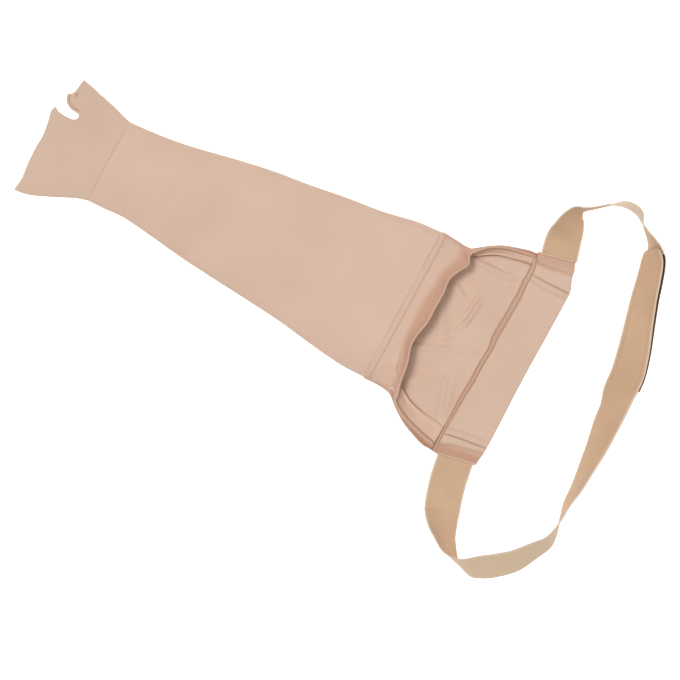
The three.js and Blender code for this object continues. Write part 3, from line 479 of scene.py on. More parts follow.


# Materials, with colours in 0-255 display values

# The pink below is painted shade: a darker, pinker knit colour laid where the hem and the tabs slope steeply.
STEEP_SHADE_PINK = (210, 165, 140)
# The brown below marks sewn lines. It is also painted shade in creases, in grooves, along the facing's free
# edge and on the low strap.
SEWN_AND_SHADE_BROWN = (172, 121, 86)
WALE = 0.9
COURSE = 0.75
RIB = 1.3
WARP = 1.05


def rgba(colour):
    """Linear values of a colour."""
    c = np.asarray(colour, float) / 255
    return (*np.where(c <= 0.04045, c / 12.92, ((c + 0.055) / 1.055) ** 2.4), 1.0)


def times(colour, factor):
    return [min(c * factor, 255) for c in colour]


class Nodes:
    """Short ways to add and join shader nodes."""

    def __init__(self, name):
        self.material = bpy.data.materials.new(name)
        self.material.use_nodes = True
        self.tree = self.material.node_tree
        self.tree.nodes.clear()
        self.shader = self.add("ShaderNodeBsdfPrincipled")
        self.add("ShaderNodeOutputMaterial", {"Surface": self.shader.outputs[0]})

    def put(self, socket, value):
        if isinstance(value, bpy.types.NodeSocket):
            self.tree.links.new(value, socket)
        else:
            socket.default_value = value

    def add(self, kind, inputs=None, **settings):
        node = self.tree.nodes.new(kind)
        for key, value in settings.items():
            setattr(node, key, value)
        for key, value in (inputs or {}).items():
            self.put(node.inputs[key], value)
        return node

    def look(self, **inputs):
        """Sets or joins inputs of the shader. An underscore stands for a space."""
        for key, value in inputs.items():
            self.put(self.shader.inputs[key.replace("_", " ")], value)

    def math(self, operation, a, b=0.0):
        return self.add("ShaderNodeMath", {0: a, 1: b}, operation=operation).outputs[0]

    def wave(self, value, length=1.0):
        """Rounded ridges, one to each length."""
        return self.math("ABSOLUTE", self.math("SINE", self.math("MULTIPLY", value, math.pi / length)))

    def noise(self, vector, scale, detail=2.0, roughness=0.5):
        inputs = {"Vector": vector, "Scale": scale, "Detail": detail, "Roughness": roughness}
        return self.add("ShaderNodeTexNoise", inputs).outputs["Fac"]

    def span(self, value, low, high, to_low, to_high):
        inputs = {"Value": value, "From Min": low, "From Max": high, "To Min": to_low, "To Max": to_high}
        return self.add("ShaderNodeMapRange", inputs).outputs["Result"]

    def mix(self, factor, a, b):
        """Mixes two colours, each given by its values or by a socket."""
        node = self.add("ShaderNodeMix", {"Factor": factor}, data_type="RGBA")
        for name, value in (("A", a), ("B", b)):
            socket = [s for s in node.inputs if s.type == "RGBA" and s.name == name][0]
            self.put(socket, value if isinstance(value, bpy.types.NodeSocket) else rgba(value))
        return [s for s in node.outputs if s.type == "RGBA"][0]

    def mottled(self, noise, a, b):
        return self.mix(self.span(noise, 0.3, 0.7, 0.0, 1.0), a, b)

    def cloth_uv(self):
        """The cloth's own u and v in millimetres."""
        uv = self.add("ShaderNodeUVMap", uv_map="cloth").outputs[0]
        split = self.add("ShaderNodeSeparateXYZ", {0: uv})
        return [self.math("MULTIPLY", split.outputs[n], 1 / MM) for n in range(2)]

    def mark(self, name):
        return self.add("ShaderNodeAttribute", attribute_name=name).outputs["Fac"]

    def place(self):
        return self.add("ShaderNodeTexCoord").outputs["Object"]

    def bump(self, height, strength, distance):
        node = self.add("ShaderNodeBump", {"Strength": strength, "Distance": distance, "Height": height})
        self.look(Normal=node.outputs[0])


def knit(name, light, dark):
    """Fine compression knit: rows of small V-shaped stitches, mottled yarn, a pinker colour painted as shade
    on steep slopes, brown marks for sewn lines and for painted shade, and painted shade between the loops.
    """
    n = Nodes(name)
    u, v = n.cloth_uv()
    wales = n.math("FRACT", n.math("DIVIDE", u, WALE))
    off = n.math("MULTIPLY", n.math("ABSOLUTE", n.math("SUBTRACT", wales, 0.5)), 2.0)
    courses = n.math("ADD", n.math("DIVIDE", v, COURSE), n.math("MULTIPLY", off, 0.5))
    between_wales = n.math("SUBTRACT", 1.0, n.math("POWER", off, 3.0))
    loops = n.math("MULTIPLY", n.math("POWER", n.wave(courses), 0.7), between_wales)
    where = n.place()
    fine = n.noise(where, 900.0)
    yarn = n.mottled(n.noise(where, 16.0, 3.0), light, dark)
    # The tint mark lays pink painted shade on steep slopes. The line mark lays brown, for sewn lines and for
    # painted shade in creases, grooves and along edges.
    sewn = n.mix(n.mark("line"), n.mix(n.mark("tint"), yarn, STEEP_SHADE_PINK), SEWN_AND_SHADE_BROWN)
    speckled = n.mix(n.span(fine, 0.25, 0.75, 0.0, 0.10), sewn, times(light, 0.78))
    # Painted shade: the colour is darker in the gaps between the knit loops.
    loop_gap_shaded = n.mix(n.span(loops, 0.0, 0.6, 0.16, 0.0), speckled, times(dark, 0.74))
    n.look(Base_Color=loop_gap_shaded, Roughness=n.span(fine, 0.2, 0.8, 0.82, 0.95), Specular_IOR_Level=0.18,
           Sheen_Weight=0.06, Sheen_Roughness=0.5)
    n.bump(n.math("ADD", loops, n.math("MULTIPLY", fine, 0.5)), 0.35, 0.00022)
    return n.material


def webbing(name, light, dark, pale, edge):
    """Ribbed elastic webbing: ribs across it, fine warp threads along it, painted shade between them, a paler
    back, paler along both edges, and brown painted shade where the line mark is set.
    """
    n = Nodes(name)
    u, v = n.cloth_uv()
    where = n.place()
    fine = n.noise(where, 1100.0)
    front = n.mottled(n.noise(where, 22.0), light, dark)
    base = n.mix(n.mark("tint"), front, pale)
    warps = n.math("ADD", n.math("MULTIPLY", n.wave(u, WARP), 0.35), 0.65)
    weave = n.math("MULTIPLY", n.math("POWER", n.wave(v, RIB), 0.6), warps)
    # Painted shade: darker in the gaps between the ribs and the warp threads.
    lines = n.mix(n.span(weave, 0.1, 0.8, 0.30, 0.0), base, times(dark, 0.72))
    flecks = n.mix(n.span(fine, 0.3, 0.8, 0.0, 0.12), lines, times(light, 1.10))
    # The line mark lays brown painted shade on the webbing.
    sewn = n.mix(n.mark("line"), flecks, SEWN_AND_SHADE_BROWN)
    rim = n.span(n.math("ABSOLUTE", u), 17.4, 18.6, 0.0, 0.8)
    n.look(Base_Color=n.mix(rim, sewn, edge), Roughness=n.span(fine, 0.2, 0.8, 0.72, 0.88),
           Specular_IOR_Level=0.25, Sheen_Weight=0.08)
    n.bump(n.math("ADD", weave, n.math("MULTIPLY", fine, 0.3)), 0.5, 0.0003)
    return n.material


def thread(name, light, dark):
    """Twisted sewing thread."""
    n = Nodes(name)
    strands = n.noise(n.place(), 2600.0, 1.0)
    n.look(Base_Color=n.mottled(strands, light, dark), Roughness=0.55, Specular_IOR_Level=0.35)
    n.bump(strands, 0.4, 0.00015)
    return n.material


def pile(name, light, dark, scale):
    """Fuzzy or hooked tape."""
    n = Nodes(name)
    fuzz = n.noise(n.place(), scale, 3.0, 0.7)
    n.look(Base_Color=n.mottled(fuzz, dark, light), Roughness=0.8, Specular_IOR_Level=0.25)
    n.bump(fuzz, 0.8, 0.0004)
    return n.material


KNIT_HAND = knit("hand knit", (220, 191, 170), (215, 185, 163))
KNIT_ARM = knit("arm knit", (224, 194, 173), (219, 187, 166))
KNIT_HEM = knit("hem knit", (222, 192, 171), (217, 184, 163))
KNIT_HEM_IN = knit("hem inner knit", (228, 196, 174), (223, 189, 166))
KNIT_BAND = knit("shoulder knit", (223, 193, 172), (219, 188, 167))
KNIT_SEAM = knit("seam knit", (216, 184, 162), (208, 174, 151))
WEBBING = webbing("elastic webbing", (214, 181, 148), (206, 172, 140), (226, 199, 168), (228, 206, 186))
THREAD = thread("seam thread", (186, 140, 108), (160, 116, 86))
THREAD_PALE = thread("pale thread", (204, 168, 146), (186, 148, 126))
# The hook tape's dark brown is partly its own colour and partly painted shade of the gap between the two
# strap layers, where it shows at their edge.
HOOKS_AND_GAP_SHADE = pile("hook tape", (120, 88, 66), (78, 54, 40), 900.0)
LOOPS = pile("loop tape", (196, 166, 140), (160, 130, 106), 1500.0)


# Arm sleeve


def arm_section(x):
    along = (x - WRIST_X) / ARM_LENGTH
    half = lerp(WRIST_WIDTH, UPPER_ARM_WIDTH, sample(ARM, 1, along)) / 2
    height = lerp(WRIST_HEIGHT, UPPER_ARM_HEIGHT, sample(ARM, 3, along))
    return half, ARM_DRIFT * sample(ARM, 2, along), height


def panel_section(x):
    along = (x - STITCH_X) / PANEL_LENGTH
    flared = sample(PANEL, 1, along)
    pulled = SHOULDER_WIDTH * sample(PANEL, 2, along)
    half = (lerp(UPPER_ARM_WIDTH, SHOULDER_WIDTH, flared) - pulled) / 2
    return half, lerp(ARM_DRIFT, SHOULDER_DRIFT, flared) - pulled / 2, UPPER_ARM_HEIGHT


def outline(half, height, at):
    """Across and up on a flattened tube: at 0 on top, 0.5 and -0.5 at the folds, 1 below."""
    around = np.abs(at)
    angle = np.pi * np.minimum(around, 0.5)
    arch = np.cos(angle) * np.sqrt(1 + np.sin(angle) ** 2)
    below = np.clip((around - 0.5) / 0.5, 0, 1)
    corner = np.clip(below / 0.3, 0, 1) * np.pi / 2
    bent = below < 0.3
    flat = half - FOLD_DEPTH
    low_across = np.where(bent, flat + FOLD_DEPTH * np.cos(corner), flat * (1 - below) / 0.7)
    low_up = np.where(bent, FOLD_HEIGHT * (1 - np.sin(corner)), 0.0)
    on_top = around <= 0.5
    across = np.where(on_top, half * np.sin(angle), low_across)
    return np.sign(at) * across, np.where(on_top, FOLD_HEIGHT + (height - FOLD_HEIGHT) * arch, low_up)


def seam_x(across):
    return SHOULDER_X + BAND_DEPTH * sample(SEAM, 1, across)


def tube_relief(x, y, at):
    """How far the arm tube's cloth stands out from its plain shape."""
    top = smoothstep(0.5 - np.abs(at), 0.0, 0.12)
    swell = 0.35 * ripple(x * 0.6, y, 60, 3) + 0.12 * ripple(x, y, 24, 4)
    hem = dip(x - STITCH_X + 0.4, 0.9, 0.45) + 0.25 * smoothstep(x, STITCH_X - 9, STITCH_X - 2)
    return top * (swell + creases(x, y, ARM_CREASES) + hem)


def panel_relief(x, y):
    """Wrinkles in the cloth behind the opening, seen from inside."""
    lift = 0.35 * ripple(x, y, 42, 11) + 0.14 * ripple(x, y, 18, 12) + creases(x, y, PANEL_CREASES)
    calmer = 1 - 0.6 * smoothstep(x, SHOULDER_X - 14, SHOULDER_X)
    return lift * smoothstep(x, STITCH_X + 8, STITCH_X + 22) * calmer


def arm_sleeve():
    """Tube from the wrist to the stitch line, whose lower side runs on as the panel."""
    tube_steps, panel_steps = 104, 96
    bend = np.linspace(-1, 1, 281)[:-1]
    at = bend + 0.055 * np.sin(bend * math.tau) * np.cos(bend * math.pi) ** 2
    shoulder_across, _ = outline(SHOULDER_WIDTH / 2, UPPER_ARM_HEIGHT, at)
    end = seam_x(shoulder_across * 2 / SHOULDER_WIDTH) - SEAM_WIDTH / 2 + 0.4
    tube_x = lerp(STITCH_X, WRIST_X, np.linspace(1, 0, tube_steps + 1) ** 1.4)
    panel_x = lerp(STITCH_X, end[:, None], np.linspace(0, 1, panel_steps + 1)[1:])
    x = np.hstack([np.tile(tube_x, (len(at), 1)), panel_x])
    ring = np.broadcast_to(at[:, None], x.shape)
    in_tube = np.arange(x.shape[1]) <= tube_steps
    half, middle, height = (np.where(in_tube, a, b) for a, b in zip(arm_section(x), panel_section(x)))
    across, up = outline(half, height, ring)
    y = middle + across
    surface = xyz(x, y, up)
    normal = grid_normals(surface, True)
    normal *= np.sign(normal[len(at) // 2, 10, 2])
    surface += normal * np.where(in_tube, tube_relief(x, y, ring), 0.0)[..., None]
    behind = ~in_tube & (np.abs(ring) > 0.52)
    floating = lerp(1.4, 0.4, smoothstep(x, SHOULDER_X - 20, SHOULDER_X - 6))
    lifted = np.maximum(panel_relief(x, y) * smoothstep(np.abs(ring), 0.6, 0.75) + floating, 0.0)
    surface[..., 2] += np.where(behind, lifted, 0.0)
    closed = np.append(at, 1.0)
    below = np.abs(closed) >= 0.4999
    keep = np.ones((len(at), x.shape[1] - 1), bool)
    keep[:, tube_steps:] = (below[:-1] & below[1:])[:, None]
    return cloth("arm_sleeve_cloth", surface, closed[:, None] * GIRTH / 2, np.vstack([x, x[:1]]), FABRIC,
                 KNIT_ARM, wrap=True, keep=keep, outward=ring_volume(surface) > 0)


# Hand piece


def plan(table, at):
    return sample(table, 1, at)


def distance_to(x, y, line):
    """Distance in plan to a line through points."""
    best = np.full(x.shape, 1e9)
    fine = np.linspace(line[0, 0], line[-1, 0], 60)
    track = np.stack([fine, plan(line, fine)], 1)
    for (ax, ay), (bx, by) in zip(track, track[1:]):
        dx, dy = bx - ax, by - ay
        t = np.clip(((x - ax) * dx + (y - ay) * dy) / (dx * dx + dy * dy), 0, 1)
        best = np.minimum(best, np.hypot(x - ax - t * dx, y - ay - t * dy))
    return best


def hand_plan(palm_columns, thumb_columns, joint, split):
    """Plan grid from the wrist to the open edges, with the thumb's columns after the palm's."""
    shares = [(1 - np.cos(np.linspace(0, math.pi, count + 1))) / 2 for count in (palm_columns, thumb_columns)]
    slot_x, slot_y = SLOT_PALM[-1]
    xs = np.linspace(WRIST_X, slot_x, joint + 1)
    divide = lerp(10.0, slot_y, smoothstep(-xs, 20, 70))
    low, high = plan(LOW_SIDE, xs), plan(HIGH_SIDE, xs)
    joined = [lerp(a[:, None], b[:, None], share)
              for a, b, share in zip((low, divide), (divide, high), shares)]
    ahead = np.linspace(0, 1, split + 1)[1:] ** 1.25

    def part(share, side_low, side_high, edge):
        """Plan grid from the slot's end to an open edge."""
        ends_x = plan(edge, lerp(side_low[0, 1], side_high[0, 1], share))
        x = slot_x + (ends_x - slot_x)[None, :] * ahead[:, None]
        x[:, 0], x[:, -1] = (slot_x + (side[0, 0] - slot_x) * ahead for side in (side_low, side_high))
        low_y, high_y = plan(side_low, x[:, 0]), plan(side_high, x[:, -1])
        return x, lerp(low_y[:, None], high_y[:, None], share)

    palm = part(shares[0], LOW_SIDE, SLOT_PALM, PALM_EDGE)
    thumb = part(shares[1], SLOT_THUMB, HIGH_SIDE, THUMB_EDGE)
    behind = np.tile(xs[:, None], palm_columns + thumb_columns + 2), np.hstack(joined)
    return [np.vstack([behind[n], np.hstack([palm[n], thumb[n]])]) for n in range(2)]


def hand_piece():
    """Mitt with an upper and a lower side that meet along both sides and round the slot."""
    palm_columns, joint = 56, 60
    x, y = hand_plan(palm_columns, 30, joint, 40)
    rows, columns = x.shape
    palm_last, thumb_first = palm_columns, palm_columns + 1
    to_thumb = distance_to(x, y, SLOT_THUMB)
    to_others = [distance_to(x, y, line) for line in (LOW_SIDE, HIGH_SIDE, SLOT_PALM)]
    near = np.minimum.reduce([to_thumb, *to_others])
    near[:, [0, -1]] = 0
    near[joint:, [palm_last, thumb_first]] = 0
    rim = 1 - np.clip(near / 24, 0, 1)
    full = lerp(6.4, HAND_HEIGHT - 0.8, smoothstep(x, -96, -30))
    mitt = FOLD_HEIGHT + (full - FOLD_HEIGHT) * np.sqrt(1 - rim * rim)
    at_wrist = FOLD_HEIGHT + (WRIST_HEIGHT - FOLD_HEIGHT) * np.sqrt(1 - rim ** 2.6)
    top = lerp(mitt, at_wrist, smoothstep(x, -34, -20))
    swell = 0.22 * ripple(x, y, 34, 21) + 0.08 * ripple(x, y, 14, 22) + creases(x, y, HAND_CREASES)
    top += swell * smoothstep(near, 0, 8)
    edge_x = np.where(np.arange(columns) <= palm_last, -94.0, -86.0)
    top += dip(x - edge_x - 4.0, 0.9, 0.25) * smoothstep(near, 0, 6)
    beside_thumb = smoothstep(-x, 70, 75) * (y > 24)
    top += dip(to_thumb - THUMB_STITCH, 0.8, 0.6) * beside_thumb
    top += dip(x - TACK_X, 1.2, 0.8) * bell(y - TACK_Y, 2.6)
    line = np.maximum(0.95 * bell(to_thumb - THUMB_STITCH, 0.6) * beside_thumb,
                      0.9 * bell(x - TACK_X, 0.9) * bell(y - TACK_Y, 2.2))
    corner = 1 - np.clip(near / FOLD_DEPTH, 0, 1)
    base = FOLD_HEIGHT * (1 - np.sqrt(1 - corner * corner))
    points = np.concatenate([xyz(x, y, z).reshape(-1, 3) for z in (top, base)])
    keep = np.ones((rows - 1, columns - 1), bool)
    keep[:, palm_last] = False
    quads, ci, cj = sheet_grid(rows, columns, keep=keep)
    uv = np.stack([y[ci, cj], x[ci, cj], 0 * x[ci, cj], line[ci, cj]], -1)
    count = rows * columns
    weld = np.arange(2 * count)
    grid = weld[:count].reshape(rows, columns).copy()
    for below, above in (
        (grid[:, [0, -1]] + count, grid[:, [0, -1]]),
        (grid[:joint + 1, thumb_first], grid[:joint + 1, palm_last]),
        (grid[:joint + 1, thumb_first] + count, grid[:joint + 1, palm_last] + count),
        (grid[joint:, palm_last] + count, grid[joint:, palm_last]),
        (grid[joint:, thumb_first] + count, grid[joint:, thumb_first]),
    ):
        weld[below] = above
    both = weld[weld[np.concatenate([quads, quads[:, ::-1] + count])]]
    uv = np.concatenate([uv, uv[:, ::-1]])
    used, both = np.unique(both, return_inverse=True)
    points, both = points[used], both.reshape(-1, 4)
    outward = vertex_normals(points, both)[np.argmax(points[:, 2]), 2] > 0
    return make("hand_piece_cloth", *thicken(points, both, uv, HAND_FABRIC, outward), KNIT_HAND)


def wrist_seam():
    """Thin covered seam between the hand piece and the arm sleeve."""
    around, across = 200, 9
    at = np.linspace(-1, 1, around + 1)
    half, middle, height = arm_section(WRIST_X)
    y, z = outline(half, height, at[:-1])
    centre = xyz(WRIST_X, middle + y, z)
    ahead = np.array([1.0, 0.0, 0.0])
    out = np.cross(unit(np.roll(centre, -1, axis=0) - np.roll(centre, 1, axis=0)), ahead)
    out *= np.sign(out[around // 2, 2])
    angle = np.linspace(0, math.pi, across)
    raised = np.sin(angle) * np.where(z > 0.4, 0.22, 0.0)[:, None] + 0.02
    spread = ahead * (0.8 * np.cos(angle))[:, None]
    surface = centre[:, None, :] + spread + out[:, None, :] * raised[..., None]
    outward = grid_normals(surface, True)[around // 2, across // 2, 2] > 0
    return cloth("wrist_seam_ridge", surface, at[:, None] * 110, np.arange(across) * 0.3, 0.5, KNIT_SEAM,
                 wrap=True, outward=outward)


# Hem round the opening


def side_share(place):
    """1 where the hem runs along the panel's sides, and 0 over its front."""
    return np.clip(between(RIM, 5, place), 0, 1)


def rim_at(place):
    """Foot, ridge, free edge and side share at places counted in rows of the rim."""
    place = np.asarray(place, float)
    i = np.clip(np.floor(place).astype(int), 0, LAST_ROW - 1)
    t = place - i

    def foot_of(foot, arch):
        half, middle, height = arm_section(STITCH_X)
        across, up = outline(half, height, arch)
        on_stitch = xyz(STITCH_X, middle + across, up)
        x = STITCH_X + PANEL_LENGTH * np.maximum(foot, 0)
        half, middle, _ = panel_section(x)
        beside = xyz(x, middle + np.sign(arch) * half, FOLD_HEIGHT)
        return np.where((foot < 0)[..., None], on_stitch, beside)

    def point(table, first):
        ahead, across, up = (between(table, first + n, place) for n in range(3))
        return xyz(STITCH_X + PANEL_LENGTH * ahead, SHOULDER_DRIFT + SHOULDER_WIDTH / 2 * across,
                   LIP_HEIGHT * up)

    a, b = RIM[i], RIM[i + 1]
    same = (a[..., 0] < 0) == (b[..., 0] < 0)
    smooth = foot_of(lerp(a[..., 0], b[..., 0], t), lerp(a[..., 1], b[..., 1], t))
    stepped = lerp(foot_of(a[..., 0], a[..., 1]), foot_of(b[..., 0], b[..., 1]), t[..., None])
    return np.where(same[..., None], smooth, stepped), point(RIM, 2), point(FREE_EDGE, 0), side_share(place)


def band_point(place, along):
    """Point of the upper band between its foot (0) and the ridge (1)."""
    foot, ridge, _, side = rim_at(place)
    length = np.linalg.norm(ridge - foot, axis=-1, keepdims=True)
    flat = unit((ridge - foot) * (1, 1, 0))
    up = np.array([0.0, 0.0, 1.0])
    s = side[..., None]
    start = unit(lerp(flat, up, s))
    finish = unit(flat * lerp(0.55, 0.75, s) + up * 0.7)
    p1, p2 = foot + start * length * 0.4, ridge - finish * length * 0.3
    t = np.asarray(along, float)[..., None]
    point = (1 - t) ** 3 * foot + 3 * (1 - t) ** 2 * t * p1 + 3 * (1 - t) * t * t * p2 + t ** 3 * ridge
    valley = sample(VALLEY, 1, place)[..., None]
    climb = np.clip((t - valley) / (1 - valley), 0, 1) ** 1.5
    point[..., 2:] = lerp(point[..., 2:], lerp(foot, ridge, climb)[..., 2:], 0.85 * (1 - s))
    return point


def band_frame(place, along):
    """Point, outward normal and direction towards the ridge on the upper band."""
    place, along = np.broadcast_arrays(np.asarray(place, float), np.asarray(along, float))
    before, after = np.maximum(place - 0.12, 0), np.minimum(place + 0.12, LAST_ROW)
    run = band_point(after, along) - band_point(before, along)
    rise = band_point(place, np.minimum(along + 0.02, 1)) - band_point(place, np.maximum(along - 0.02, 0))
    return band_point(place, along), unit(np.cross(rise, run)), unit(rise)


def upper_band():
    """The hem's outer cloth, from its foot to the ridge and round the lip."""
    stations, steps, roll_steps = 420, 60, 12
    place = np.linspace(0, LAST_ROW, stations)
    p, a = np.meshgrid(place, np.linspace(0, 1, steps + 1), indexing="ij")
    point, normal, _ = band_frame(p, a)
    side = side_share(place)
    front = (1 - side)[:, None]
    distance = run_length(point)
    length = distance[:, -1:]
    from_lip = length - distance
    around = place[:, None] * 14
    past = a - sample(VALLEY, 1, p)
    steep = smoothstep(past, -0.05, 0.28)
    low_end = smoothstep(-p, -12.5, -9.5) * front
    relief = dip(distance - HEM_STITCH, 0.8, 0.30) * front + dip(past * length, 1.3, 0.9) * low_end
    for back, width, depth, seed in LIP_GROOVES:
        wander = 0.5 * ripple(around, around * 0, 60, seed)
        relief += dip(from_lip - back - wander, width, depth) * (0.5 + 0.5 * front)
    puckers = 0.16 * ripple(around, distance * 0.4, 13, 8) + 0.3 * ripple(around, distance * 0.5, 45, 9)
    streaks = 0.10 * ripple(around * 0.06, distance, 2.6, 7) * steep
    relief += (puckers * smoothstep(distance, 6, 14) + streaks) * smoothstep(from_lip, 0, 4)
    ridge, ridge_normal, ridge_ahead = (a[:, None] for a in band_frame(place, 1.0))
    turned = lerp(math.pi, 1.5, side)[:, None] * np.arange(1, roll_steps + 1) / roll_steps
    swung = ridge_normal * np.cos(turned)[..., None] + ridge_ahead * np.sin(turned)[..., None]
    rolled = ridge - LIP_RADIUS * ridge_normal + LIP_RADIUS * swung
    surface = np.concatenate([point + normal * relief[..., None], rolled], 1)
    # Painted shade: pink tint on the band's steep zone and on the sides' outer strip, and brown on the sides'
    # outer strip, in the valley crease at the low end and in the groove of the hem stitching. Painted
    # highlight: the front of the roll at the lip gets less tint, which makes the lip's edge lighter.
    tint = np.clip(steep * front + (1 - front) * lerp(1.0, 0.5, smoothstep(a, 0.6, 0.95)), 0, 1)
    line = (1 - front) * lerp(0.70, 0.05, smoothstep(a, 0.45, 0.92))
    line += 0.6 * bell(past * length, 1.2) * low_end
    line += 0.25 * bell(distance - HEM_STITCH, 0.7) * front
    tint, line = (np.hstack([m, np.repeat(m[:, -1:], roll_steps, 1)]) for m in (tint, line))
    tint[:, -roll_steps:] *= 0.6 + 0.4 * side[:, None]
    outward = grid_normals(surface)[stations // 2, 6, 2] > 0
    return cloth("upper_band_cloth", surface, around, np.hstack([distance, length + LIP_RADIUS * turned]),
                 FABRIC, KNIT_HEM, outward=outward, tint=tint, line=line)


def facing_surface(place, share):
    """Inner cloth of the hem, from the ridge (0) to its free edge (1)."""
    foot, ridge, edge, side = rim_at(place)
    back = np.clip(1 - share * HEM_DEPTH / np.linalg.norm(ridge - foot, axis=-1), 0.15, 1)
    depth = FABRIC + 2 * CLEARANCE
    outer = (band_frame(place, along) for along in (back, 0.95))
    under, tucked = (point - normal * depth for point, normal, _ in outer)
    beside = lerp(tucked, edge, share[..., None])
    curled = CURL * lerp(0.4, 1.0, smoothstep(place, 0.5, 3.5))
    beside[..., 2] += curled * smoothstep(share, 0.72, 1.0)
    return lerp(under, beside, smoothstep(side, 0, 0.9)[..., None])


def hem_facing():
    """The hem's inner cloth, with soft puckers, a sewn groove, and a brown line along its free edge that is
    partly the overlock and partly painted shadow under the edge.
    """
    p, s = np.meshgrid(np.linspace(0, LAST_ROW, 360), np.linspace(0, 1, 45), indexing="ij")
    surface = facing_surface(p, s)
    normal = grid_normals(surface)
    outward = normal[6, 4, 2] >= 0
    side = side_share(p)
    from_stitch = (s - FACING_STITCH) * HEM_DEPTH
    relief = 0.35 * ripple(p * 14, s * 20, 26, 31) * np.sin(np.pi * s) + dip(from_stitch, 0.7, 0.5) * side
    surface = surface + normal * (1 if outward else -1) * relief[..., None]
    # Brown along the free edge: partly the overlock, partly painted shadow under the edge. Its strength
    # changes along the rim.
    sharp = smoothstep(p, 1.0, 3.5) * (1 - 0.4 * smoothstep(p, 21.0, 24.0))
    overlock_and_edge_shadow = lerp(0.15, 0.85, sharp) * smoothstep(s, 0.90, 0.95)
    line = np.maximum(0.70 * bell(from_stitch, 0.8), overlock_and_edge_shadow) * side
    # Painted shade: pink tint on the steep turn next to the ridge.
    tint = (1 - smoothstep(s, 0.05, 0.16)) * 0.6
    return cloth("hem_facing_cloth", surface, p * 14, s * HEM_DEPTH, FABRIC, KNIT_HEM_IN, outward=outward,
                 tint=tint, line=line)


# Shoulder seam and band


def shoulder_y(across):
    return SHOULDER_DRIFT + across * SHOULDER_WIDTH / 2


def seam_path(across):
    aside = 1.6 * smoothstep(across, 0.02, 0.16) + 2.3 * smoothstep(across, 0.56, 0.72)
    aside = aside + 0.8 * smoothstep(across, 0.85, 0.95)
    return seam_x(across) - aside + 0.35 * ripple(across * 120, across * 0, 30, 41)


def seam_shape(across):
    """Half width and height of the seam: it lies flatter and wider between its middle and the high tab."""
    past_middle, near_tab = smoothstep(across, 0.02, 0.16), smoothstep(across, 0.52, 0.70)
    flat = past_middle * (1 - near_tab)
    wide = past_middle * lerp(1.0, 0.75, near_tab)
    narrow = lerp(0.78, 1.0, smoothstep(across, -0.75, -0.35))
    return SEAM_COVER / 2 * lerp(narrow, 1.3, wide), SEAM_HEIGHT * lerp(0.42, 0.20, flat), flat


def seam_section(across):
    """Half width of the seam, and the height of its upper side at 33 places across it (-1 to 1)."""
    half, rise, flat = seam_shape(across)
    wide = np.linspace(-1, 1, 33)[None, :]
    foot = lerp(PANEL_TOP, BAND_HEIGHT - 0.15, smoothstep(wide, -0.55, 0.55))
    dome = rise[:, None] * np.maximum(1 - np.abs(wide) ** 2.6, 0) ** 0.6
    shape = dip(np.abs(wide) - SEAM_LINE, 0.12, 0.40) + dip(wide - 0.05, 0.12, 0.30) * flat[:, None]
    return half, wide, foot + dome + shape * (1 - wide ** 8)


def shoulder_seam():
    """Raised seam with a flat underside."""
    stations = 360
    across = np.linspace(-1, 0.972, stations)
    half, wide, top = seam_section(across)
    half = half * (1 + 0.05 * ripple(across * 120, across * 0, 9, 42))
    top = top + 0.16 * ripple(across[:, None] * 120, wide * 3, 7, 43) * (1 - wide ** 4)
    low = np.tile((SEAM_WIDTH / 2 - 0.35) * np.linspace(1, -1, 9), (stations, 1))
    aside = np.hstack([half[:, None] * wide, low])
    x = seam_path(across)[:, None] + aside
    y = np.repeat(shoulder_y(across)[:, None], x.shape[1], 1)
    z = np.hstack([top, np.full(low.shape, 0.05)])
    strength = lerp(0.55, 0.30, seam_shape(across)[2])[:, None]
    sewn = strength * bell(np.abs(wide) - SEAM_LINE, 0.15) + 0.15
    line = np.hstack([sewn, np.zeros(low.shape)])
    return rod("shoulder_seam_ridge", xyz(x, y, z), aside, y, KNIT_SEAM, line)


def band_line(along):
    """Seam side, free edge and height of the shoulder band from the low tab (0) to the high tab (1)."""
    across = lerp(-1, 1, along)
    beside = SHOULDER_X + SEAM_WIDTH / 2
    near = seam_x(across) + SEAM_WIDTH / 2 + CLEARANCE
    far = beside + BAND_DEPTH * (1 + sample(BAND_EDGE, 1, along)) + np.minimum(0, near - beside - CLEARANCE)
    slant = lerp(LOW_TAB_SLANT, HIGH_TAB_SLANT, along) * BAND_DEPTH
    y = shoulder_y(across)
    tab = smoothstep(np.abs(across), 0.3, 1 - 3 * INSERT_SHARE)
    return np.stack([near, y], -1), np.stack([far, y + slant], -1), lerp(BAND_HEIGHT, TAB_HEIGHT, tab)


def tab_marks(away, place, skewed, pink, sewn_at, skew):
    """Relief, a pink tint painted as shade on the tab's sloping end, and brown lines painted as shade along
    its stitching and folds, at distances from its end.
    """
    wander = 0.5 * ripple(place, place * 0, 30, 53)
    crease_at = away - sewn_at - skew * skewed - wander
    zone = smoothstep(away, 16, 6) * (0.3 + 0.7 * smoothstep(away, 1.8, 2.6))
    lift = 0.35 * bell(crease_at - 2.2, 1.6)
    lift = lift + 0.4 * ripple(place, away * 1.5, 9, 54) * smoothstep(away, 14, 10) * smoothstep(away, 3, 5)
    # Painted shade: the sloping end is also made browner, the more so on the pinker tab.
    line = 0.22 * (pink - 0.6) / 0.4 * zone
    # Folds: distance, width, depth, and the width and strength of the brown line painted as shade along them
    for distance, width, depth, spread, strength in (
        (crease_at, 0.9, 1.0, 0.8, 0.55),
        (crease_at - 7.0 - wander, 1.4, 0.7, 1.6, 0.14),
        (away - 12.5 - 2 * skewed - 2 * wander, 1.8, 0.9, 2.0, 0.36),
        (away - TAB_HEM, 0.5, 0.40, 0.6, 0.45),
    ):
        lift = lift + dip(distance, width, depth)
        line = np.maximum(line, strength * bell(distance, spread))
    return lift, pink * zone, line


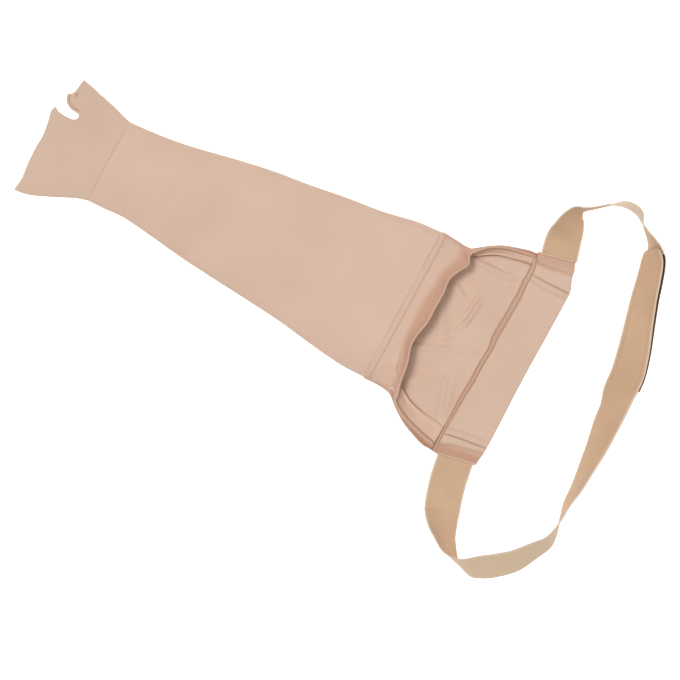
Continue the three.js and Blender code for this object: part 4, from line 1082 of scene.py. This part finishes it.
def shoulder_band():
    """Cloth folded double along the seam, as a flat ring round its section, with a tab at each end."""
    along = np.linspace(0, 1, 360)
    near, far, height = band_line(along)
    near = near + unit(near - far) * lerp(1.0, TAB_OVERLAP, smoothstep(along, 0.76, 0.87))[:, None]
    far = far + unit(near - far) * (TAB_NARROWED * smoothstep(along, 0.85, 0.95))[:, None]
    top = np.linspace(-1, 1, 61)
    turn = np.linspace(0, math.pi, 9)[1:-1]
    reach = np.concatenate([top, 1 + 0 * turn, top[::-1], -1 + 0 * turn])
    bulge = np.concatenate([0 * top, np.sin(turn), 0 * top, -np.sin(turn)])
    level = np.concatenate([1 + 0 * top, (1 + np.cos(turn)) / 2, 0 * top, (1 - np.cos(turn)) / 2])
    middle, side = (near + far) / 2, unit(far - near)
    half = np.linalg.norm(far - near, axis=1)[:, None] / 2
    place = (half - BAND_RADIUS) * reach + BAND_RADIUS * bulge
    x, y = (middle[:, n, None] + side[:, n, None] * place for n in range(2))
    from_low = along[:, None] * SHOULDER_WIDTH
    lift = 0.18 * ripple(x, y, 40, 51) + 0.08 * ripple(x, y, 15, 52)
    tint, line = 0 * x, 0 * x
    # Each tab adds pink and brown painted shade at its end and along its folds.
    for from_high, *shape in TABS:
        away = SHOULDER_WIDTH - from_low if from_high else from_low
        relief, pink, sewn = tab_marks(away, place, place / half, *shape)
        lift, tint, line = lift + relief, np.maximum(tint, pink), np.maximum(line, sewn)
    lift = lift * smoothstep(half - np.abs(place), 0.3, 3.0)
    surface = np.swapaxes(xyz(x, y, height[:, None] * level + np.where(level > 0.6, lift, 0.0)), 0, 1)
    u = np.hstack([place, place[:, :1] + 4 * half]).T + 45
    v = np.hstack([y, y[:, :1]]).T
    tint, line = (np.where(level > 0.4, m, 0.0).T for m in (tint, line))
    return cloth("shoulder_band_cloth", surface, u, v, FABRIC, KNIT_BAND, wrap=True,
                 outward=ring_volume(surface) > 0, tint=tint, line=line)


# Straps


def tab_frame(along):
    """Middle, width direction and face direction of a strap inside its tab."""
    near, far, _ = band_line(along)
    width = unit(near - far)
    return np.array([*(near + far) / 2, TAB_HEIGHT / 2]), np.array([*width, 0.0]), np.array([0.0, 0.0, 1.0])


LOW_TAB, HIGH_TAB = tab_frame(0.0)[0], tab_frame(1.0)[0]


def strap_line(u):
    y = lerp(LOW_TAB[1], HIGH_TAB[1], sample(STRAP, 2, u))
    return xyz(TAB_X + STRAP_REACH * sample(STRAP, 1, u), y, 0.0)


def cross_share(u):
    rise = smoothstep(u, CROSS_FROM - CROSS_RAMP, CROSS_FROM)
    return rise * (1 - smoothstep(u, CROSS_TO, CROSS_TO + CROSS_RAMP))


def leaning(u):
    """Direction of travel and width direction of a strap that leans over on its edge."""
    run = unit(strap_line(np.minimum(u + 0.002, 1)) - strap_line(np.maximum(u - 0.002, 0)))
    lean = np.radians(sample(STRAP, 3, u))
    return run, xyz(-run[:, 1] * np.cos(lean), run[:, 0] * np.cos(lean), np.sin(lean))


def strap_frames(u):
    """Middle, width direction and face direction of the strap at shares of its route, with its fold over."""
    run, width = leaning(u)
    ends = leaning(np.array([FOLD_FROM, FOLD_TO]))[1]
    turns, rises = np.unwrap(np.arctan2(ends[:, 1], ends[:, 0])), np.arcsin(ends[:, 2])
    share = np.clip((u - FOLD_FROM) / (FOLD_TO - FOLD_FROM), 0, 1)
    turn = lerp(*turns, 1 - (1 - share) ** 1.5)
    rise = lerp(*rises, share ** 3) + math.radians(8) * np.sin(math.pi * share)
    over = xyz(np.cos(turn) * np.cos(rise), np.sin(turn) * np.cos(rise), np.sin(rise))
    folded = ((u > FOLD_FROM) & (u < FOLD_TO))[:, None]
    width = np.where(folded, over, width)
    face = unit(np.cross(run, width))
    crossed = cross_share(u)
    stack = lerp(STRAP_THICKNESS / 2, STRAP_THICKNESS + TAPE_THICKNESS + 1.5 * CLEARANCE, crossed)
    tab = smoothstep(np.maximum(1 - u / TAB_RAMP, 1 - (1 - u) / TAB_RAMP), 0, 1)
    middle = strap_line(u)
    middle[:, 2] = (STRAP_WIDTH / 2 + STRAP_INSET * crossed) * np.abs(width[:, 2])
    middle[:, 2] += stack * np.abs(face[:, 2]) + tab * (TAB_HEIGHT - STRAP_THICKNESS) / 2
    face = np.where(folded, unit(np.cross(np.gradient(middle, axis=0), width)), face)
    return middle, width, face


def outward_of(middle, width):
    """1 where the width direction points out of the strap's loop, and -1 where it points in."""
    return np.sign(np.sum(width * (middle - LOOP_MIDDLE), axis=1))[:, None]


def strap(name, start, end, direction, high=False, inset=0.0, painted_shade=0.0):
    """Webbing along part of the route, into the high tab, or else from a round end into the low tab.

    direction: the side of the route where it lies at the crossing.
    Gives the object, and its middle, width direction, face direction and distance along it.
    """
    u = np.linspace(start, end, int((end - start) * 1000))
    middle, width, face = strap_frames(u)
    crossed = cross_share(u)[:, None]
    middle = middle + face * direction * STRAP_OFFSET * crossed
    middle = middle - width * outward_of(middle, width) * inset * crossed
    ends = np.linspace(1 - INSERT_SHARE, 1, 8) if high else np.linspace(0, INSERT_SHARE, 8)
    inner = [np.array(part) for part in zip(*map(tab_frame, ends))]
    outer = middle, width, face
    middle, width, face = (np.concatenate([a, b[1:]] if high else [b[:-1], a]) for a, b in zip(inner, outer))
    at = run_length(middle)
    corner = np.clip(1 - at / END_ROUND, 0, 1) * (not high)
    half = STRAP_WIDTH / 2 - END_ROUND * (1 - np.sqrt(1 - corner * corner * 0.999))
    tucked = (TAB_NARROWED - 0.6) * smoothstep(STRAP_INSERT - at, -3.5, 2.5) * high
    place = (half - tucked / 2)[:, None] * np.linspace(-1, 1, 33) + tucked[:, None] / 2
    edge = STRAP_WIDTH / 2 - np.abs(place)
    sewn = cross_share(np.linspace(start, end, len(at)))[:, None]
    lift = dip(edge - 1.6, 0.5, 0.12) + dip(edge - STRAP_STITCH, 0.6, 0.28) * sewn
    lift += 0.10 * ripple(at[:, None], place * 0.3, 26, 61)
    raised = (STRAP_THICKNESS / 2 + lift)[..., None]
    top = middle[:, None] + width[:, None] * place[..., None] + face[:, None] * raised
    outward = float(np.sum(grid_normals(top)[:, 16] * face)) > 0
    # Painted shade: the strap is browner up to 220 mm along it, fading out by 330 mm.
    shade_darkened = painted_shade * (1 - smoothstep(at[:, None], 220, 330))
    obj = cloth(name, top, place, at[:, None], STRAP_THICKNESS, WEBBING, outward=outward, line=shade_darkened,
                back_tint=1.0)
    return obj, (middle, width, face, at)


def tape_frames(first, last, count, side):
    """Frames along the tape with the hooks (side -1) or with the loops (side 1)."""
    middle, width, face = strap_frames(np.linspace(first, last, count))
    if side < 0:
        middle = middle + width * outward_of(middle, width) * HOOKS_ASIDE
    return middle, width, face


def tape(name, side, material):
    """Backing of the hook or loop tape between the two straps."""
    middle, width, face = tape_frames(CROSS_FROM + ROUTE_STEP, CROSS_TO - ROUTE_STEP, 260, side)
    place = np.linspace(-1, 1, 21) * TAPE_WIDTH / 2
    raised = side * (CLEARANCE / 2 + TAPE_THICKNESS)
    top = middle[:, None] + width[:, None] * place[:, None] + face[:, None] * raised
    outward = float(np.sum(grid_normals(top)[:, 10] * face)) * side > 0
    return cloth(name, top, place, run_length(middle)[:, None], TAPE_BACKING, material, outward=outward)


def hooks():
    """Rows of small hooks that stand on the hook tape's backing."""
    middle, width, face = tape_frames(CROSS_FROM + 0.012, CROSS_TO - 0.012, 88, -1)
    across = np.linspace(-1, 1, 21) * (TAPE_WIDTH / 2 - 0.8)
    base = middle[:, None] + width[:, None] * across[:, None]
    base = base - face[:, None] * (CLEARANCE / 2 + TAPE_THICKNESS - TAPE_BACKING)
    up, side = face[:, None] + 0 * base, width[:, None] + 0 * base
    base, up, side, run = (a.reshape(-1, 3) for a in (base, up, side, np.cross(up, side)))
    bend = np.where(np.arange(len(base)) % 2 == 0, 1.0, -1.0)[:, None]
    points = []
    # Levels of a hook: height, how far it has bent over, radius
    for high, out, radius in ((0.0, 0.0, 0.2), (0.45, 0.0, 0.16), (0.72, 0.16, 0.16), (0.66, 0.42, 0.10)):
        centre = base + up * high + run * bend * out
        for a, b in ((1, 1), (-1, 1), (-1, -1), (1, -1)):
            points.append(centre + side * a * radius + run * b * radius)
    corners = [(4 * k, n, (n + 1) % 4) for k in range(3) for n in range(4)]
    hook = [[low + a, low + b, low + 4 + b, low + 4 + a] for low, a, b in corners]
    hook = np.array([*hook, [3, 2, 1, 0], [12, 13, 14, 15]])
    quads = (hook[:, None] + np.arange(len(base))[:, None] * 16).reshape(-1, 4)
    points = np.stack(points, 1).reshape(-1, 3)
    return make("hooks", points, quads, points[quads][:, :, :2], HOOKS_AND_GAP_SHADE)


# Sewing: lines of points with their normals


def arm_row(x, y_from, y_to):
    """Line across the arm tube's top at x."""
    half, middle, height = arm_section(x)
    y = np.linspace(y_from, y_to, 60)
    angle = np.arcsin(np.clip((y - middle) / half, -1, 1))
    line = xyz(x, y, outline(half, height, angle / math.pi)[1])
    normal = np.cross(unit(np.gradient(line, axis=0)), np.array([-1.0, 0.0, 0.0]))
    return line, unit(normal * np.sign(normal[:, 2:]))


def band_row(distance):
    """Line along the upper band at a distance from its foot, over the front."""
    place = np.linspace(8.6, 21.0, 160)
    foot, ridge, _, _ = rim_at(place)
    return band_frame(place, distance / (np.linalg.norm(ridge - foot, axis=1) * 1.05))[:2]


def facing_row(share, first, last):
    place = np.linspace(first, last, 140)
    before, line, after = (facing_surface(place, np.full(140, share + step)) for step in (-0.05, 0, 0.05))
    normal = unit(np.cross(after - before, np.gradient(line, axis=0)))
    return line, normal * np.sign(normal[:, 2:])


def seam_row(wide):
    """Line along the seam at a share of its half width."""
    across = np.linspace(-0.985, 0.960, 300)
    half, places, top = seam_section(across)
    column = int(np.argmin(np.abs(places[0] - wide)))
    line = xyz(seam_path(across) + half * places[0, column], shoulder_y(across), top[:, column])
    return line, np.tile([0.0, 0.0, 1.0], (300, 1))


def tab_row(away, skew, from_high):
    """Line across a tab at a distance from its end, further at its free edge by twice the skew."""
    share = np.linspace(0.06, 0.94, 40)
    along = (away + skew * (2 * share - 1)) / SHOULDER_WIDTH
    near, far, height = band_line(1 - along if from_high else along)
    line = np.hstack([lerp(near, far, share[:, None]), height[:, None] - 0.4])
    return line, np.tile([0.0, 0.0, 1.0], (40, 1))


def strap_row(path, place, first, last):
    """Line along a strap between two distances from its free end."""
    middle, width, face, at = path
    chosen = (at >= first) & (at <= last)
    line = middle[chosen] + width[chosen] * place + face[chosen] * (STRAP_THICKNESS / 2 - 0.25)
    return line, face[chosen]


def strap_cross_row(path, away, reach):
    """Line across a strap at a distance from its free end."""
    middle, width, face, at = path
    k = int(np.searchsorted(at, away))
    places = np.linspace(-reach, reach, 24)[:, None]
    line = middle[k] + width[k] * places + face[k] * (STRAP_THICKNESS / 2 - 0.1)
    return line, np.repeat(face[k:k + 1], 24, 0)


arm = arm_sleeve()
hand = hand_piece()
band = upper_band()
facing = hem_facing()
seam = shoulder_seam()
shoulder = shoulder_band()
high_strap, high_path = strap("upper_strap_webbing", 0.0, CROSS_TO, -1, high=True, inset=STRAP_INSET)
low_strap, low_path = strap("lower_strap_webbing", CROSS_FROM, 1.0, 1, painted_shade=0.14)
hook_tape = tape("hook_tape_backing", -1, HOOKS_AND_GAP_SHADE)
loop_tape = tape("loop_tape_pile", 1, LOOPS)
hook_field = hooks()

across_tabs = [tab_row(sewn_at, skew, from_high) for from_high, _, sewn_at, skew in TABS[::-1]]
across_tabs += [tab_row(TAB_HEM, 0.0, from_high) for from_high in (True, False)]
strap_reach = STRAP_WIDTH / 2 - STRAP_STITCH
round_end = [strap_row(low_path, side * strap_reach, 6, 150) for side in (-1, 1)]
round_end.append(strap_cross_row(low_path, 5.6, strap_reach))
sleeve_rows = [arm_row(STITCH_X - 0.5, -68, 98), band_row(HEM_STITCH)]
seam_rows = [seam_row(-SEAM_LINE), seam_row(SEAM_LINE)]
facing_rows = [facing_row(FACING_STITCH, 0.2, 7.5), facing_row(FACING_STITCH, 22.5, 28.8)]
sleeve_stitches = stitches("hem_stitches", sleeve_rows, THREAD_PALE, radius=0.24)
seam_stitches = stitches("seam_stitches", seam_rows, THREAD, length=2.2, gap=0.6)
facing_stitches = stitches("facing_stitches", facing_rows, THREAD)
tab_stitches = stitches("tab_stitches", across_tabs, THREAD, radius=0.26)
strap_stitches = stitches("strap_stitches", round_end, THREAD, length=2.4, gap=0.8, radius=0.24)
wrist = wrist_seam()


# The frame: piece, its material slot, the CAD node that it replaces

PIECES = [
    (hand, "knit", "hand_piece"), (arm, "knit", "arm_sleeve"), (band, "hem_knit", "upper_band"),
    (facing, "hem_knit", "hem_facing"), (seam, "seam_thread", "shoulder_seam"),
    (shoulder, "knit", "shoulder_band"),
    (high_strap, "webbing", "upper_strap"), (low_strap, "webbing", "lower_strap"),
    (hook_tape, "hook_tape", "hook_tape"), (loop_tape, "loop_tape", "loop_tape"),
    (sleeve_stitches, "seam_thread", None), (seam_stitches, "seam_thread", None),
    (facing_stitches, "seam_thread", None), (tab_stitches, "seam_thread", None),
    (strap_stitches, "seam_thread", None), (hook_field, "hook_tape", None), (wrist, "knit", None),
]
for piece, slot, node in PIECES:
    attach(piece, "root")
    if node:
        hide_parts(node)


RIM_LENGTH = run_length(band_point(np.linspace(0, LAST_ROW, 300), np.ones(300)))[-1]
TAPE_LENGTH = run_length(strap_frames(np.linspace(CROSS_FROM, CROSS_TO, 200))[0])[-1]


# Floor, light and camera, in metres

SCENE_X, SCENE_Y = 0.285, -0.05
FLOOR_DROP = 0.0003
WHITE = (1, 1, 1, 1)
# Straight above, turned so that the sleeve runs down to the right as in the photograph
VIEW_X, VIEW_Y = 0.2854, -0.0505
VIEW_HEIGHT = 6.0
PART_MIDDLE = 0.012
VIEW_WIDTH = 0.7174
VIEW_TURN = 28.5
SENSOR = 36

floor_look = Nodes("floor")
floor_look.look(Base_Color=(0.86, 0.86, 0.86, 1), Roughness=0.9, Specular_IOR_Level=0.0, Emission_Color=WHITE,
                Emission_Strength=0.75)
bpy.ops.mesh.primitive_plane_add(size=8, location=(SCENE_X, SCENE_Y, -FLOOR_DROP))
floor = bpy.context.object
floor.name = "floor"
floor.data.materials.append(floor_look.material)


def area_light(name, place, size, energy):
    """Square light that faces the middle of the sleeve."""
    data = bpy.data.lights.new(name, "AREA")
    data.shape = "SQUARE"
    data.size = size
    data.energy = energy
    lamp = bpy.data.objects.new(name, data)
    lamp.location = place
    lamp.rotation_mode = "QUATERNION"
    lamp.rotation_quaternion = (Vector((SCENE_X, SCENE_Y, 0)) - Vector(place)).to_track_quat("-Z", "Y")
    lamp.visible_camera = False
    bpy.context.scene.collection.objects.link(lamp)


area_light("key", (-0.66, 0.13, 3.6), 0.75, 62)
area_light("over", (0.385, 0.0, 2.4), 2.2, 22)
world = bpy.data.worlds.new("studio")
world.use_nodes = True
background = world.node_tree.nodes["Background"]
background.inputs[0].default_value = WHITE
background.inputs[1].default_value = 0.26
bpy.context.scene.world = world
bpy.context.scene.view_settings.view_transform = "Standard"

camera_data = bpy.data.cameras.new("camera")
camera_data.sensor_width = SENSOR
camera_data.lens = SENSOR * VIEW_HEIGHT / VIEW_WIDTH
camera_data.clip_end = 20
camera = bpy.data.objects.new("camera", camera_data)
camera.location = (VIEW_X, VIEW_Y, VIEW_HEIGHT + PART_MIDDLE)
camera.rotation_euler = (0, 0, math.radians(VIEW_TURN))
bpy.context.scene.collection.objects.link(camera)
bpy.context.scene.camera = camera
